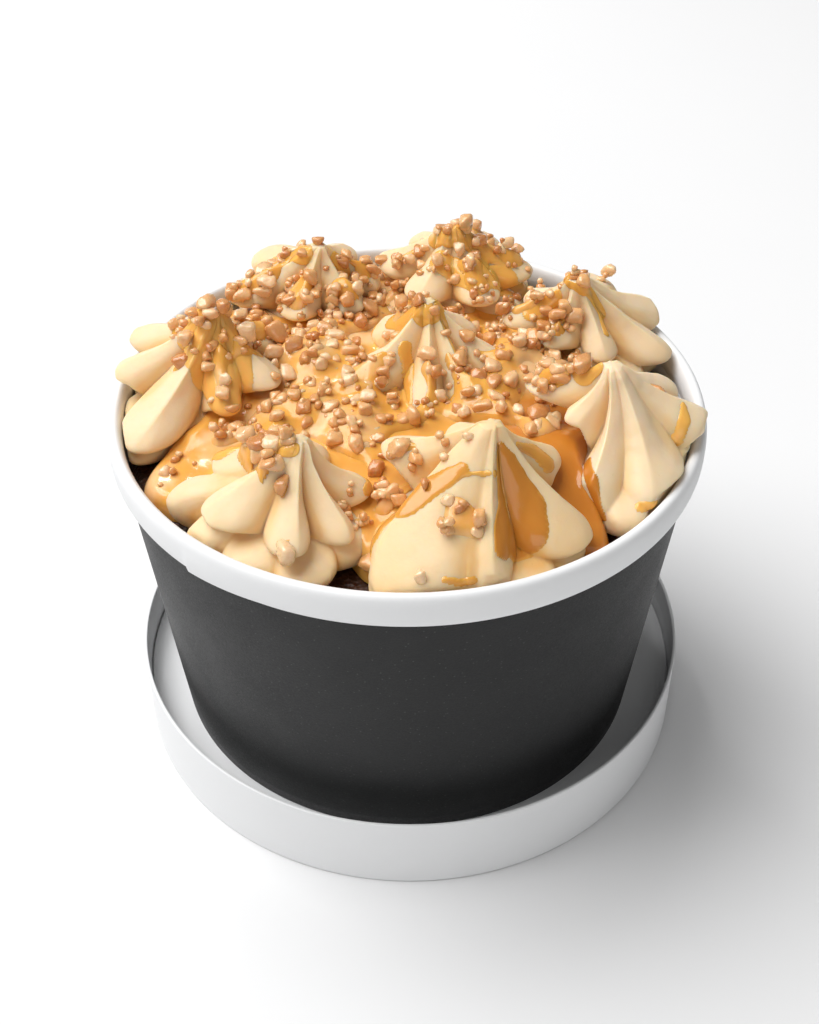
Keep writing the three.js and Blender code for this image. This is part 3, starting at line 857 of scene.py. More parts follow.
@dataclass
class PaperCup:
    """The cup: a conical wall, dark outside and white inside, under a tall white rolled rim.

    The seam is a direction in degrees, and its width the degrees over which the step runs out.
    """

    foot_radius: float = 41.5
    wall_radius: float = 47.3
    board: float = 0.6
    rim_radius: float = 49.0
    rim_top: float = 67.0
    roll_width: float = 2.5
    roll_height: float = 5.9
    foot: float = 7.5
    base_recess: float = 5.0
    cream_over_rim: float = 1.6
    cream_from_edge: float = 0.8
    wall_in_roll: float = 1.0
    wall_levels: int = 24
    wall_facets: int = 200
    roll_steps: int = 40
    roll_facets: int = 480
    side_flatness: float = 0.72
    top_flatness: float = 0.9
    seam: float = -132.0
    seam_step: float = 0.45
    seam_width: float = 16.0

    def wall_outside(self, z: Array) -> Array:
        """Radius of the wall's outside.

        Args:
            z: Heights.

        Returns:
            The radius at each height.
        """
        top = self.rim_top - self.roll_height
        share = (z - self.foot) / (top - self.foot)
        return self.foot_radius + (self.wall_radius - self.foot_radius) * share

    def wall_inside(self, z: Array) -> Array:
        """Radius of the wall's inside at a height."""
        return self.wall_outside(z) - self.board

    def cream_limit(self, z: Array) -> Array:
        """How far out the cream may lie: inside the wall, then over the rim.

        Args:
            z: Heights.

        Returns:
            The limit at each height, from the cup's axis.
        """
        inside_roll = self.rim_radius - self.roll_width - FIT_GAP
        inside = np.minimum(self.wall_inside(z) - FIT_GAP, inside_roll)
        over = smooth_step(self.rim_top + FIT_GAP, self.rim_top + self.cream_over_rim, z)
        return inside + (self.rim_radius - self.cream_from_edge - inside) * over

    def wall(self) -> Skin:
        """The wall, with its outer faces in the first material and the rest in the second.

        Returns:
            The closed skin.
        """
        top = self.rim_top - self.roll_height + self.wall_in_roll
        levels = np.linspace(self.foot, top, self.wall_levels)
        outside = [(float(self.wall_outside(z)), float(z)) for z in levels]
        inner_top = float(self.wall_inside(top))
        outline = outside + [(inner_top + 0.35, top + 0.2), (inner_top, top + 0.1)]
        outline += [(float(self.wall_inside(z)), float(z)) for z in levels[::-1]]
        skin = turned(outline, self.wall_facets)
        side = np.arange(len(skin.faces)) % len(outline)
        skin.slots = (side >= len(outside)).astype(np.int32)
        return skin

    def roll(self) -> Skin:
        """The rolled rim: a tall band with a round top.

        Returns:
            The closed skin.
        """
        middle = self.rim_radius - self.roll_width / 2
        height = self.rim_top - self.roll_height / 2
        outline = []
        for degrees in np.linspace(-105, 180, self.roll_steps):
            angle = math.radians(degrees)
            flat = self.side_flatness if degrees < 90 else self.top_flatness
            across, up = math.cos(angle), math.sin(angle)
            outline.append((
                middle + self.roll_width / 2 * math.copysign(abs(across) ** flat, across),
                height + self.roll_height / 2 * math.copysign(abs(up) ** flat, up),
            ))
        under = height - self.roll_height / 3
        outline.append((float(self.wall_inside(under)) + 0.02, under))
        outline.append((float(self.wall_inside(under)) + self.board, under - 0.8))
        skin = turned(outline, self.roll_facets)
        self.overlap(skin, middle, height)
        return skin

    def overlap(self, skin: Skin, middle: float, height: float) -> None:
        """Lets one end of the roll's board stand out where it laps over the other end.

        Args:
            skin: The roll's skin.
            middle: Radius of the middle of the roll.
            height: Height of the middle of the roll.
        """
        x, y, z = skin.points.T
        past = np.degrees(np.arctan2(y, x)) - self.seam
        share = np.where(past >= 0.0, np.clip(1.0 - past / self.seam_width, 0.0, 1.0), 0.0)
        step = self.seam_step * share
        away = np.hypot(x, y)
        outer = smooth_step(middle, middle + 0.8, away) * smooth_step(height + 1.5, height, z)
        low = smooth_step(height - 1.0, height - 2.6, z) * smooth_step(middle - 1.0, middle, away)
        grown = 1.0 + 0.5 * step * outer / away
        skin.points[:] = np.stack([x * grown, y * grown, z - step * low], axis=-1)

    def base(self) -> Skin:
        """The recessed base disc with its folded rim.

        Returns:
            The closed skin.
        """
        bottom = self.foot + self.base_recess
        radius = float(self.wall_inside(bottom)) - FIT_GAP
        return turned_solid([
            (0, bottom), (radius - 1.0, bottom), (radius - 0.2, bottom - 0.1),
            (radius, bottom + 0.1), (radius, bottom + self.board), (0, bottom + self.board),
        ])

    def build(self, dark: bpy.types.Material, white: bpy.types.Material) -> None:
        """Makes the cup's pieces.

        Args:
            dark: The board's outside.
            white: The board's inside and the rolled rim.
        """
        self.wall().piece("cup_wall", CUP_PLACE, [dark, white], Slot.DARK_BOARD, ["cup_side"])
        self.roll().piece("cup_rolled_rim", CUP_PLACE, [white], Slot.WHITE_BOARD, ["cup_side"])
        self.base().piece("cup_base_disc", CUP_PLACE, [white], Slot.WHITE_BOARD, ["cup_base"])


@dataclass
class Sponge:
    """The soaked sponge in the cup, with a rough top."""

    cup: PaperCup
    bottom: float = 13.4
    top: float = 60.0
    facets: int = 160
    coarse_lumps: Point = (2.4, 0.25)
    fine_lumps: Point = (0.9, 0.12)
    highest_lump: float = 0.15

    def skin(self) -> Skin:
        """The sponge's rough body.

        Returns:
            The closed skin.
        """
        def side(z: float) -> float:
            """Radius of the sponge at a height."""
            return float(self.cup.wall_inside(z)) - FIT_GAP

        shoulder = self.top - 1.5
        outline = [(0.0, self.bottom)]
        outline += [(side(z), z) for z in np.linspace(self.bottom, shoulder, 12)]
        outline += [(r, self.top) for r in np.linspace(side(shoulder) - 1.2, 1.0, 40)]
        outline += [(0.0, self.top)]
        skin = turned_solid(outline, self.facets)
        upper = skin.points[:, 2] > shoulder + 0.5
        (coarse, deep), (fine, shallow) = self.coarse_lumps, self.fine_lumps
        rough = lumps(skin.points[upper], coarse, 1.0) * deep
        rough = rough + lumps(skin.points[upper], fine, 2.0) * shallow
        skin.points[upper, 2] += np.minimum(rough, self.highest_lump)
        return skin

    def build(self, finish: bpy.types.Material) -> None:
        """Makes the sponge's piece."""
        self.skin().piece("sponge_soaked", CUP_PLACE, [finish], Slot.SPONGE, ["sponge"])


# ------------------------------------------------------------------ piped cream

# A fold's reach and a furrow's, as shares, from under the fold's end up to the tip.
FOLD_CURVE = (
    (-0.22, 0.30), (-0.13, 0.62), (-0.05, 0.89), (0.03, 1.00), (0.12, 0.98), (0.25, 0.86),
    (0.40, 0.66), (0.55, 0.47), (0.70, 0.32), (0.84, 0.205), (0.94, 0.14), (1.00, 0.085),
)
FURROW_CURVE = (
    (-0.22, 0.40), (0.00, 0.40), (0.13, 0.38), (0.25, 0.33), (0.40, 0.26), (0.55, 0.19),
    (0.70, 0.14), (0.84, 0.105), (0.94, 0.08), (1.00, 0.05),
)
# A lower fold's reach as a share, from its foot to where it is past its end.
LOWER_CURVE = (
    (0.00, 0.80), (0.20, 0.93), (0.45, 1.00), (0.68, 0.98), (0.86, 0.87), (1.00, 0.66),
    (1.15, 0.36), (1.40, 0.05),
)
FOLD_SOFTNESS = 0.8
CREST_SHARPNESS = 1.15
CREST_SHARPENS = (0.05, 0.5)
LOWER_SOFTNESS = 0.7
LOWER_DIP = 0.34
LOWER_CREASE = 0.5
UNTURNED_SHARE = 0.4
FOLDS_BLEND = (0.25, 0.75)


@dataclass(frozen=True)
class Fold:
    """One fold: its direction in degrees, its reach in millimetres, the share of the height
    where it ends, the furrow after it (how far on the way to the next, and how deep), and how
    many degrees it turns over the height."""

    direction: float
    reach: float
    end: float
    furrow: float = 0.5
    dip: float = 1.0
    turn: float = 10.0


@dataclass(frozen=True)
class FoldRing:
    """A ring of folds round an axis, in ascending order of direction."""

    folds: tuple[Fold, ...]

    def values(self, name: str) -> Array:
        """One number of each fold, with the first fold's once more at the end."""
        values = [getattr(fold, name) for fold in self.folds]
        return np.array(values + [values[0] + (360.0 if name == "direction" else 0.0)])

    def starts(self, share: Array) -> Array:
        """Direction in degrees of each fold at shares of the height, one row for each fold."""
        turned_by = np.multiply.outer(self.values("turn"), share - UNTURNED_SHARE)
        return self.values("direction").reshape(-1, *[1] * np.ndim(share)) + turned_by

    def place(self, direction: Array, share: Array) -> Array:
        """The place among the folds of a direction: whole on a fold, and a half in a furrow.

        Args:
            direction: Directions in radians.
            share: Shares of the height.

        Returns:
            Places, counted in folds.
        """
        direction, share = np.broadcast_arrays(direction, share)
        starts = self.starts(share)
        past = np.mod(np.degrees(direction) - starts[0], 360.0) + starts[0]
        i = np.clip((past[None] >= starts).sum(axis=0) - 1, 0, len(self.folds) - 1)
        first = np.take_along_axis(starts, i[None], axis=0)[0]
        last = np.take_along_axis(starts, i[None] + 1, axis=0)[0]
        along = (past - first) / (last - first)
        furrow = self.values("furrow")[i]
        before = 0.5 * along / furrow
        after = 0.5 + 0.5 * (along - furrow) / (1.0 - furrow)
        return i + np.where(along < furrow, before, after)

    def direction(self, place: Array, share: Array) -> Array:
        """The direction of a place among the folds.

        Args:
            place: Places, counted in folds.
            share: Shares of the height.

        Returns:
            Directions in radians.
        """
        starts = self.starts(share)
        i = np.floor(place).astype(int) % len(self.folds)
        along = place - np.floor(place)
        furrow = self.values("furrow")[i]
        warped = np.where(along < 0.5, 2 * along * furrow, furrow + (2 * along - 1) * (1 - furrow))
        first = np.take_along_axis(starts, i[None], axis=0)[0]
        last = np.take_along_axis(starts, i[None] + 1, axis=0)[0]
        return np.radians(first + (last - first) * warped)

    def between(self, name: str, place: Array) -> Array:
        """A number of the folds, blended from one fold to the next.

        Args:
            name: The number's name.
            place: Places, counted in folds.

        Returns:
            The number at each place.
        """
        values = self.values(name)
        i = np.floor(place).astype(int) % len(self.folds)
        blend = smooth_step(*FOLDS_BLEND, place - np.floor(place))
        return values[i] + (values[i + 1] - values[i]) * blend

    def dip(self, place: Array) -> Array:
        """How deep the furrow at a place is, as a share."""
        return self.values("dip")[np.floor(place).astype(int) % len(self.folds)]


@dataclass(frozen=True)
class Rosette:
    """One piped rosette: folds that turn and draw together to a pulled tip, on lower folds."""

    name: str
    x: float
    y: float
    radius: float
    tip: float
    lean: Point
    warmth: float
    upper: FoldRing
    lower: FoldRing

    def axis(self, share: Array | float) -> tuple[Array, Array]:
        """Where the axis is at a share of the height."""
        bend = share * share
        return self.x + self.lean[0] * bend, self.y + self.lean[1] * bend

    def height(self, share: Array) -> Array:
        """Height above the table at a share of the rosette's height."""
        return CREAM_FLOOR + share * (self.tip - CREAM_FLOOR)

    def share(self, z: Array) -> Array:
        """Share of the rosette's height at a height above the table."""
        return (z - CREAM_FLOOR) / (self.tip - CREAM_FLOOR)

    def own_radius(self, direction: Array, share: Array) -> Array:
        """Distance from the axis to the surface of a rosette that stands alone.

        Args:
            direction: Directions in radians.
            share: Shares of the height.

        Returns:
            Distances in millimetres.
        """
        place = self.upper.place(direction, share)
        end = self.upper.between("end", place)
        up = np.clip((share - end) / (1.0 - end), FOLD_CURVE[0][0], 1.0)
        across = 2.0 * np.abs(place - np.floor(place + 0.5))
        soft = np.maximum(np.cos(0.5 * np.pi * across), 0.0) ** FOLD_SOFTNESS
        crest = (1.0 - across) ** CREST_SHARPNESS
        stand = soft + (crest - soft) * smooth_step(*CREST_SHARPENS, up)
        stand = 1.0 - self.upper.dip(place) * (1.0 - stand)
        fold = curve_at(FOLD_CURVE, up) * self.upper.between("reach", place)
        furrow = curve_at(FURROW_CURVE, up) * self.radius
        above = furrow + np.maximum(fold - furrow, 0.0) * stand
        place = self.lower.place(direction, share)
        across = 2.0 * np.abs(place - np.floor(place + 0.5))
        soft = np.maximum(np.cos(0.5 * np.pi * across), 0.0) ** LOWER_SOFTNESS
        level = np.clip(share / self.lower.between("end", place), 0.0, LOWER_CURVE[-1][0])
        waist = 1.0 - LOWER_DIP * self.lower.dip(place) * (1.0 - soft)
        below = curve_at(LOWER_CURVE, level) * self.lower.between("reach", place) * waist
        return -soft_min(-above, -below, LOWER_CREASE)


def ring(*rows: Sequence[float]) -> FoldRing:
    """A ring of folds from rows of their numbers."""
    return FoldRing(tuple(Fold(*row) for row in rows))


ROSETTES = (
    Rosette("cream_front_left", -19.5, -27.5, 17.5, 78.5, (4.0, 0.5), 0.45, ring(
        (-156, 12.5, 0.42, 0.62), (-76, 13.2, 0.36, 0.60), (-42, 14.5, 0.36), (4, 13.5, 0.40),
        (70, 13.0, 0.40), (140, 13.5, 0.46),
    ), ring(
        (-155, 14.5, 0.42, 0.5, 0.7), (-108, 14.0, 0.32, 0.5, 0.5), (-66, 16.2, 0.28, 0.5, 0.5),
        (-24, 16.0, 0.36, 0.5, 0.6), (28, 14.5, 0.38), (80, 15.0, 0.38), (128, 15.0, 0.38),
        (172, 17.5, 0.50),
    )),
    Rosette("cream_front", 11.0, -29.0, 18.5, 82.0, (1.5, 1.0), 0.75, ring(
        (-146, 22.5, 0.16, 0.74, 0.24, -60), (-86, 17.0, 0.20, 0.35, 1.0, 0),
        (-20, 17.0, 0.24, 0.5, 0.9), (36, 14.0, 0.44), (104, 14.0, 0.52),
        (150, 17.0, 0.54, 0.42),
    ), ring(
        (-140, 21.5, 0.20, 0.5, 0.45), (-100, 17.5, 0.20, 0.5, 0.45),
        (-62, 17.5, 0.26, 0.5, 0.45), (-20, 16.5, 0.28, 0.5, 0.6), (25, 15.0, 0.30),
        (75, 14.0, 0.34), (120, 14.0, 0.34), (170, 16.0, 0.34),
    )),
    Rosette("cream_right", 35.0, -12.0, 17.0, 80.5, (-3.5, 1.0), 0.1, ring(
        (-116, 21.0, 0.16, 0.5, 0.45, 14), (-80, 16.0, 0.26, 0.60, 0.8, 16),
        (2, 13.5, 0.46, 0.5, 0.8), (55, 14.5, 0.44), (108, 12.0, 0.52), (156, 15.5, 0.62),
        (200, 10.0, 0.60),
    ), ring(
        (-134, 20.0, 0.28, 0.5, 0.6), (-98, 19.0, 0.34, 0.5, 0.5), (-62, 15.5, 0.38, 0.5, 0.5),
        (-20, 13.5, 0.40, 0.5, 0.7), (30, 15.0, 0.40), (80, 15.0, 0.36), (140, 14.0, 0.36),
        (190, 15.0, 0.34),
    )),
    Rosette("cream_back_right", 31.5, 18.0, 17.0, 79.5, (-3.0, -2.5), 0.3, ring(
        (-128, 11.5, 0.52, 0.5), (-80, 12.0, 0.46, 0.5), (-30, 15.5, 0.34, 0.5, 0.7),
        (22, 15.5, 0.42, 0.5, 0.6), (80, 15.5, 0.46, 0.5, 0.6), (135, 13.5, 0.46),
        (184, 15.0, 0.54),
    ), ring(
        (-152, 14.0, 0.42), (-104, 13.5, 0.40), (-56, 14.0, 0.34), (-5, 13.0, 0.32),
        (50, 12.0, 0.34), (105, 14.0, 0.34), (160, 15.0, 0.38),
    )),
    Rosette("cream_back", 8.5, 34.0, 18.0, 79.5, (-1.0, -1.0), 0.5, ring(
        (-122, 12.5, 0.50), (-64, 13.0, 0.50), (2, 14.5, 0.48), (60, 15.0, 0.48, 0.5, 0.7),
        (112, 15.0, 0.46, 0.5, 0.7), (160, 14.5, 0.48),
    ), ring(
        (-150, 15.0, 0.40), (-92, 13.5, 0.42), (-36, 15.0, 0.42), (25, 15.0, 0.38),
        (80, 13.0, 0.34), (135, 14.0, 0.36),
    )),
    Rosette("cream_back_left", -18.0, 30.0, 18.0, 79.0, (3.0, -2.5), 0.6, ring(
        (-166, 15.0, 0.48), (-100, 12.0, 0.50), (-46, 12.5, 0.50), (8, 13.5, 0.46),
        (65, 15.0, 0.48, 0.5, 0.7), (125, 15.5, 0.50, 0.5, 0.7),
    ), ring(
        (-135, 15.0, 0.40), (-74, 14.0, 0.42), (-20, 15.0, 0.40), (35, 15.0, 0.36),
        (90, 13.0, 0.34), (155, 14.0, 0.40),
    )),
    Rosette("cream_left", -34.5, 5.0, 18.5, 79.5, (3.5, 0.0), 0.35, ring(
        (-170, 15.0, 0.46, 0.42, 0.8), (-114, 20.5, 0.24, 0.60, 1.0, 26),
        (-66, 14.0, 0.42, 0.5, 0.7), (-30, 14.5, 0.50, 0.5), (35, 13.5, 0.50),
        (95, 16.0, 0.46, 0.5, 0.7), (145, 15.5, 0.50, 0.5, 0.7),
    ), ring(
        (-146, 15.5, 0.30), (-116, 20.0, 0.24), (-84, 17.5, 0.28), (-50, 16.0, 0.36),
        (-6, 15.0, 0.36), (50, 15.0, 0.38), (105, 15.0, 0.36), (165, 13.0, 0.36),
    )),
    Rosette("cream_centre", 4.0, 7.5, 15.5, 79.5, (-0.5, 1.5), 0.45, ring(
        (-146, 17.0, 0.40, 0.5, 0.8), (-94, 16.5, 0.30, 0.5, 0.6), (-62, 16.5, 0.34, 0.5, 0.8),
        (-20, 14.0, 0.46), (60, 12.0, 0.46), (130, 12.5, 0.46),
    ), ring(
        (-166, 13.0, 0.36), (-112, 14.0, 0.34), (-70, 14.0, 0.32), (-20, 13.5, 0.34),
        (40, 13.0, 0.36), (100, 13.0, 0.36), (150, 13.0, 0.36),
    )),
)


@dataclass
class PipedCream:
    """The eight rosettes, each pressed against its neighbours and the cup.

    Lumps are (size, depth) in millimetres. Furrows and feet get painted shade: a warmer, darker
    tone than folds.
    """

    cup: PaperCup
    rosettes: tuple[Rosette, ...] = ROSETTES
    steps_per_fold: int = 36
    rings: int = 104
    low_rings: float = 0.8
    tip_from: float = 0.9
    tip_to: float = 0.995
    apart_most: float = 2.0
    facing_least: float = 0.15
    press: float = 2.0
    wall_press: float = 0.8
    coarse_lumps: Point = (6.0, 0.5)
    fine_lumps: Point = (2.2, 0.16)
    nozzle_lines: Point = (4.0, 0.12)
    # Painted shade: how far the furrows and the foot are pushed to a warmer, darker tone, and where
    # it runs.
    furrow_painted_shade: float = 0.8
    furrow_depth: float = 1.5
    foot_painted_shade: float = 0.35
    foot_share: Point = (0.40, 0.08)

    def neighbours(self, rosette: Rosette) -> list[tuple[float, float, float]]:
        """The planes where a rosette meets the others.

        Args:
            rosette: The rosette.

        Returns:
            (x, y, distance) of each plane: its direction and how far off it stands.
        """
        planes = []
        for other in self.rosettes:
            apart = math.hypot(other.x - rosette.x, other.y - rosette.y)
            reach = rosette.radius + other.radius
            if other is rosette or apart >= reach + self.apart_most:
                continue
            near = apart * rosette.radius / reach
            planes.append(((other.x - rosette.x) / apart, (other.y - rosette.y) / apart, near))
        return planes

    def radius(self, rosette: Rosette, direction: Array, share: Array) -> Array:
        """Distance from a rosette's axis to its surface.

        Args:
            rosette: The rosette.
            direction: Directions in radians.
            share: Shares of the height.

        Returns:
            Distances in millimetres.
        """
        radius = rosette.own_radius(direction, share)
        ax, ay = rosette.axis(share)
        ux, uy = np.cos(direction), np.sin(direction)
        for nx, ny, near in self.neighbours(rosette):
            towards = ux * nx + uy * ny
            free = near - (ax - rosette.x) * nx - (ay - rosette.y) * ny
            pressed = soft_min(radius, free / np.maximum(towards, self.facing_least), self.press)
            radius = np.where(towards > self.facing_least, pressed, radius)
        limit = self.cup.cream_limit(rosette.height(share))
        along = ax * ux + ay * uy
        to_wall = -along + np.sqrt(along * along + limit * limit - ax * ax - ay * ay)
        return soft_min(radius, to_wall, self.wall_press)

    def grid(self, rosette: Rosette) -> tuple[Array, Array]:
        """The grid of points that a rosette's skin is made on.

        Args:
            rosette: The rosette.

        Returns:
            Places round it and shares of its height, by ring and column.
        """
        columns = len(rosette.upper.folds) * self.steps_per_fold
        place = np.arange(columns) / self.steps_per_fold
        low = np.linspace(0.0, self.tip_from, int(self.rings * self.low_rings), endpoint=False)
        high = np.linspace(self.tip_from, self.tip_to, self.rings - len(low))
        return np.meshgrid(place, np.concatenate([low, high]))

    def skin(self, rosette: Rosette) -> Skin:
        """The skin of one rosette: rings from foot to tip, and a point to close each end.

        Args:
            rosette: The rosette.

        Returns:
            The closed skin.
        """
        place, share = self.grid(rosette)
        direction = rosette.upper.direction(place, share)
        radius = self.radius(rosette, direction, share)
        ax, ay = rosette.axis(share)
        points = np.stack(
            [ax + radius * np.cos(direction), ay + radius * np.sin(direction), rosette.height(share)],
            axis=-1,
        )
        rings, columns = place.shape
        seed = rosette.x * 0.1
        (coarse, deep), (fine, shallow), (line, scored) = (
            self.coarse_lumps, self.fine_lumps, self.nozzle_lines)
        uneven = lumps(points, coarse, seed) * deep + lumps(points, fine, seed + 3) * shallow
        lines = np.cos(6 * np.pi * place) * scored
        lines = lines * lumps(points, line, seed + 5).reshape(place.shape)
        uneven = (uneven.reshape(rings, columns) + lines) * smooth_step(0.0, 0.1, share)
        points[..., 0] += uneven * np.cos(direction)
        points[..., 1] += uneven * np.sin(direction)
        tip_x, tip_y = rosette.axis(1.0)
        skin = closed(points, (rosette.x, rosette.y, CREAM_FLOOR), (tip_x, tip_y, rosette.tip))
        # Painted shade: a warmer, darker tone deep in the furrows and low on each rosette.
        warmth = rosette.warmth + self.hollow(radius) * self.furrow_painted_shade
        warmth = warmth + smooth_step(*self.foot_share, share) * self.foot_painted_shade
        skin.marks["warmth"] = np.append(warmth.reshape(-1), [rosette.warmth] * 2)
        return skin

    def hollow(self, radius: Array) -> Array:
        """How deep in a furrow each point lies, from 0 on a fold to 1.

        Args:
            radius: Distances from the axis, by ring and column.

        Returns:
            The depths, of the same shape.
        """
        across = range(-self.steps_per_fold // 2, self.steps_per_fold // 2 + 1, 3)
        near = np.mean([np.roll(radius, way, axis=1) for way in across], axis=0)
        return np.clip((near - radius) / self.furrow_depth, 0.0, 1.0)

    def build(self, finish: bpy.types.Material) -> dict[str, Skin]:
        """Makes a piece for each rosette.

        Args:
            finish: The cream.

        Returns:
            The skins by the rosettes' names.
        """
        skins = {}
        for rosette in self.rosettes:
            skins[rosette.name] = self.skin(rosette)
            piece = f"piped_{rosette.name}"
            skins[rosette.name].piece(piece, CUP_PLACE, [finish], Slot.CREAM, [rosette.name])
        return skins


# ------------------------------------------------------------------ caramel


@dataclass(frozen=True)
class Run:
    """A run of sauce that lies on the cream: its depth, how deep it looks, and its line.

    Each point of the line is a place and half the run's width there.
    """

    depth: float
    tone: float
    line: tuple[tuple[float, float, float, float], ...]
    wobble: float = 0.15
    wobble_size: float = 4.0
    bulge: float = 1.7

    def depth_at(self, points: Array) -> Array:
        """How deep the sauce lies at points, and on below 0 outside it.

        Args:
            points: Points in millimetres, one in each row.

        Returns:
            Depths in millimetres.
        """
        deepest = np.full(len(points), -1.0)
        wobble = 1.0 + self.wobble * lumps(points, self.wobble_size, 9.0)
        line = np.array(self.line)
        for first, second in zip(line[:-1], line[1:]):
            step = second[:3] - first[:3]
            size = max(float(step @ step), 1e-9)
            t = np.clip((points - first[:3]) @ step / size, 0.0, 1.0)
            away = np.linalg.norm(points - (first[:3] + t[:, None] * step), axis=1) * wobble
            inside = 1.0 - (away / (first[3] + (second[3] - first[3]) * t)) ** 2
            bulged = inside * (self.bulge - (self.bulge - 1.0) * inside)
            deepest = np.maximum(
                deepest, self.depth * np.where(inside > 0.0, bulged, self.bulge * inside))
        return deepest


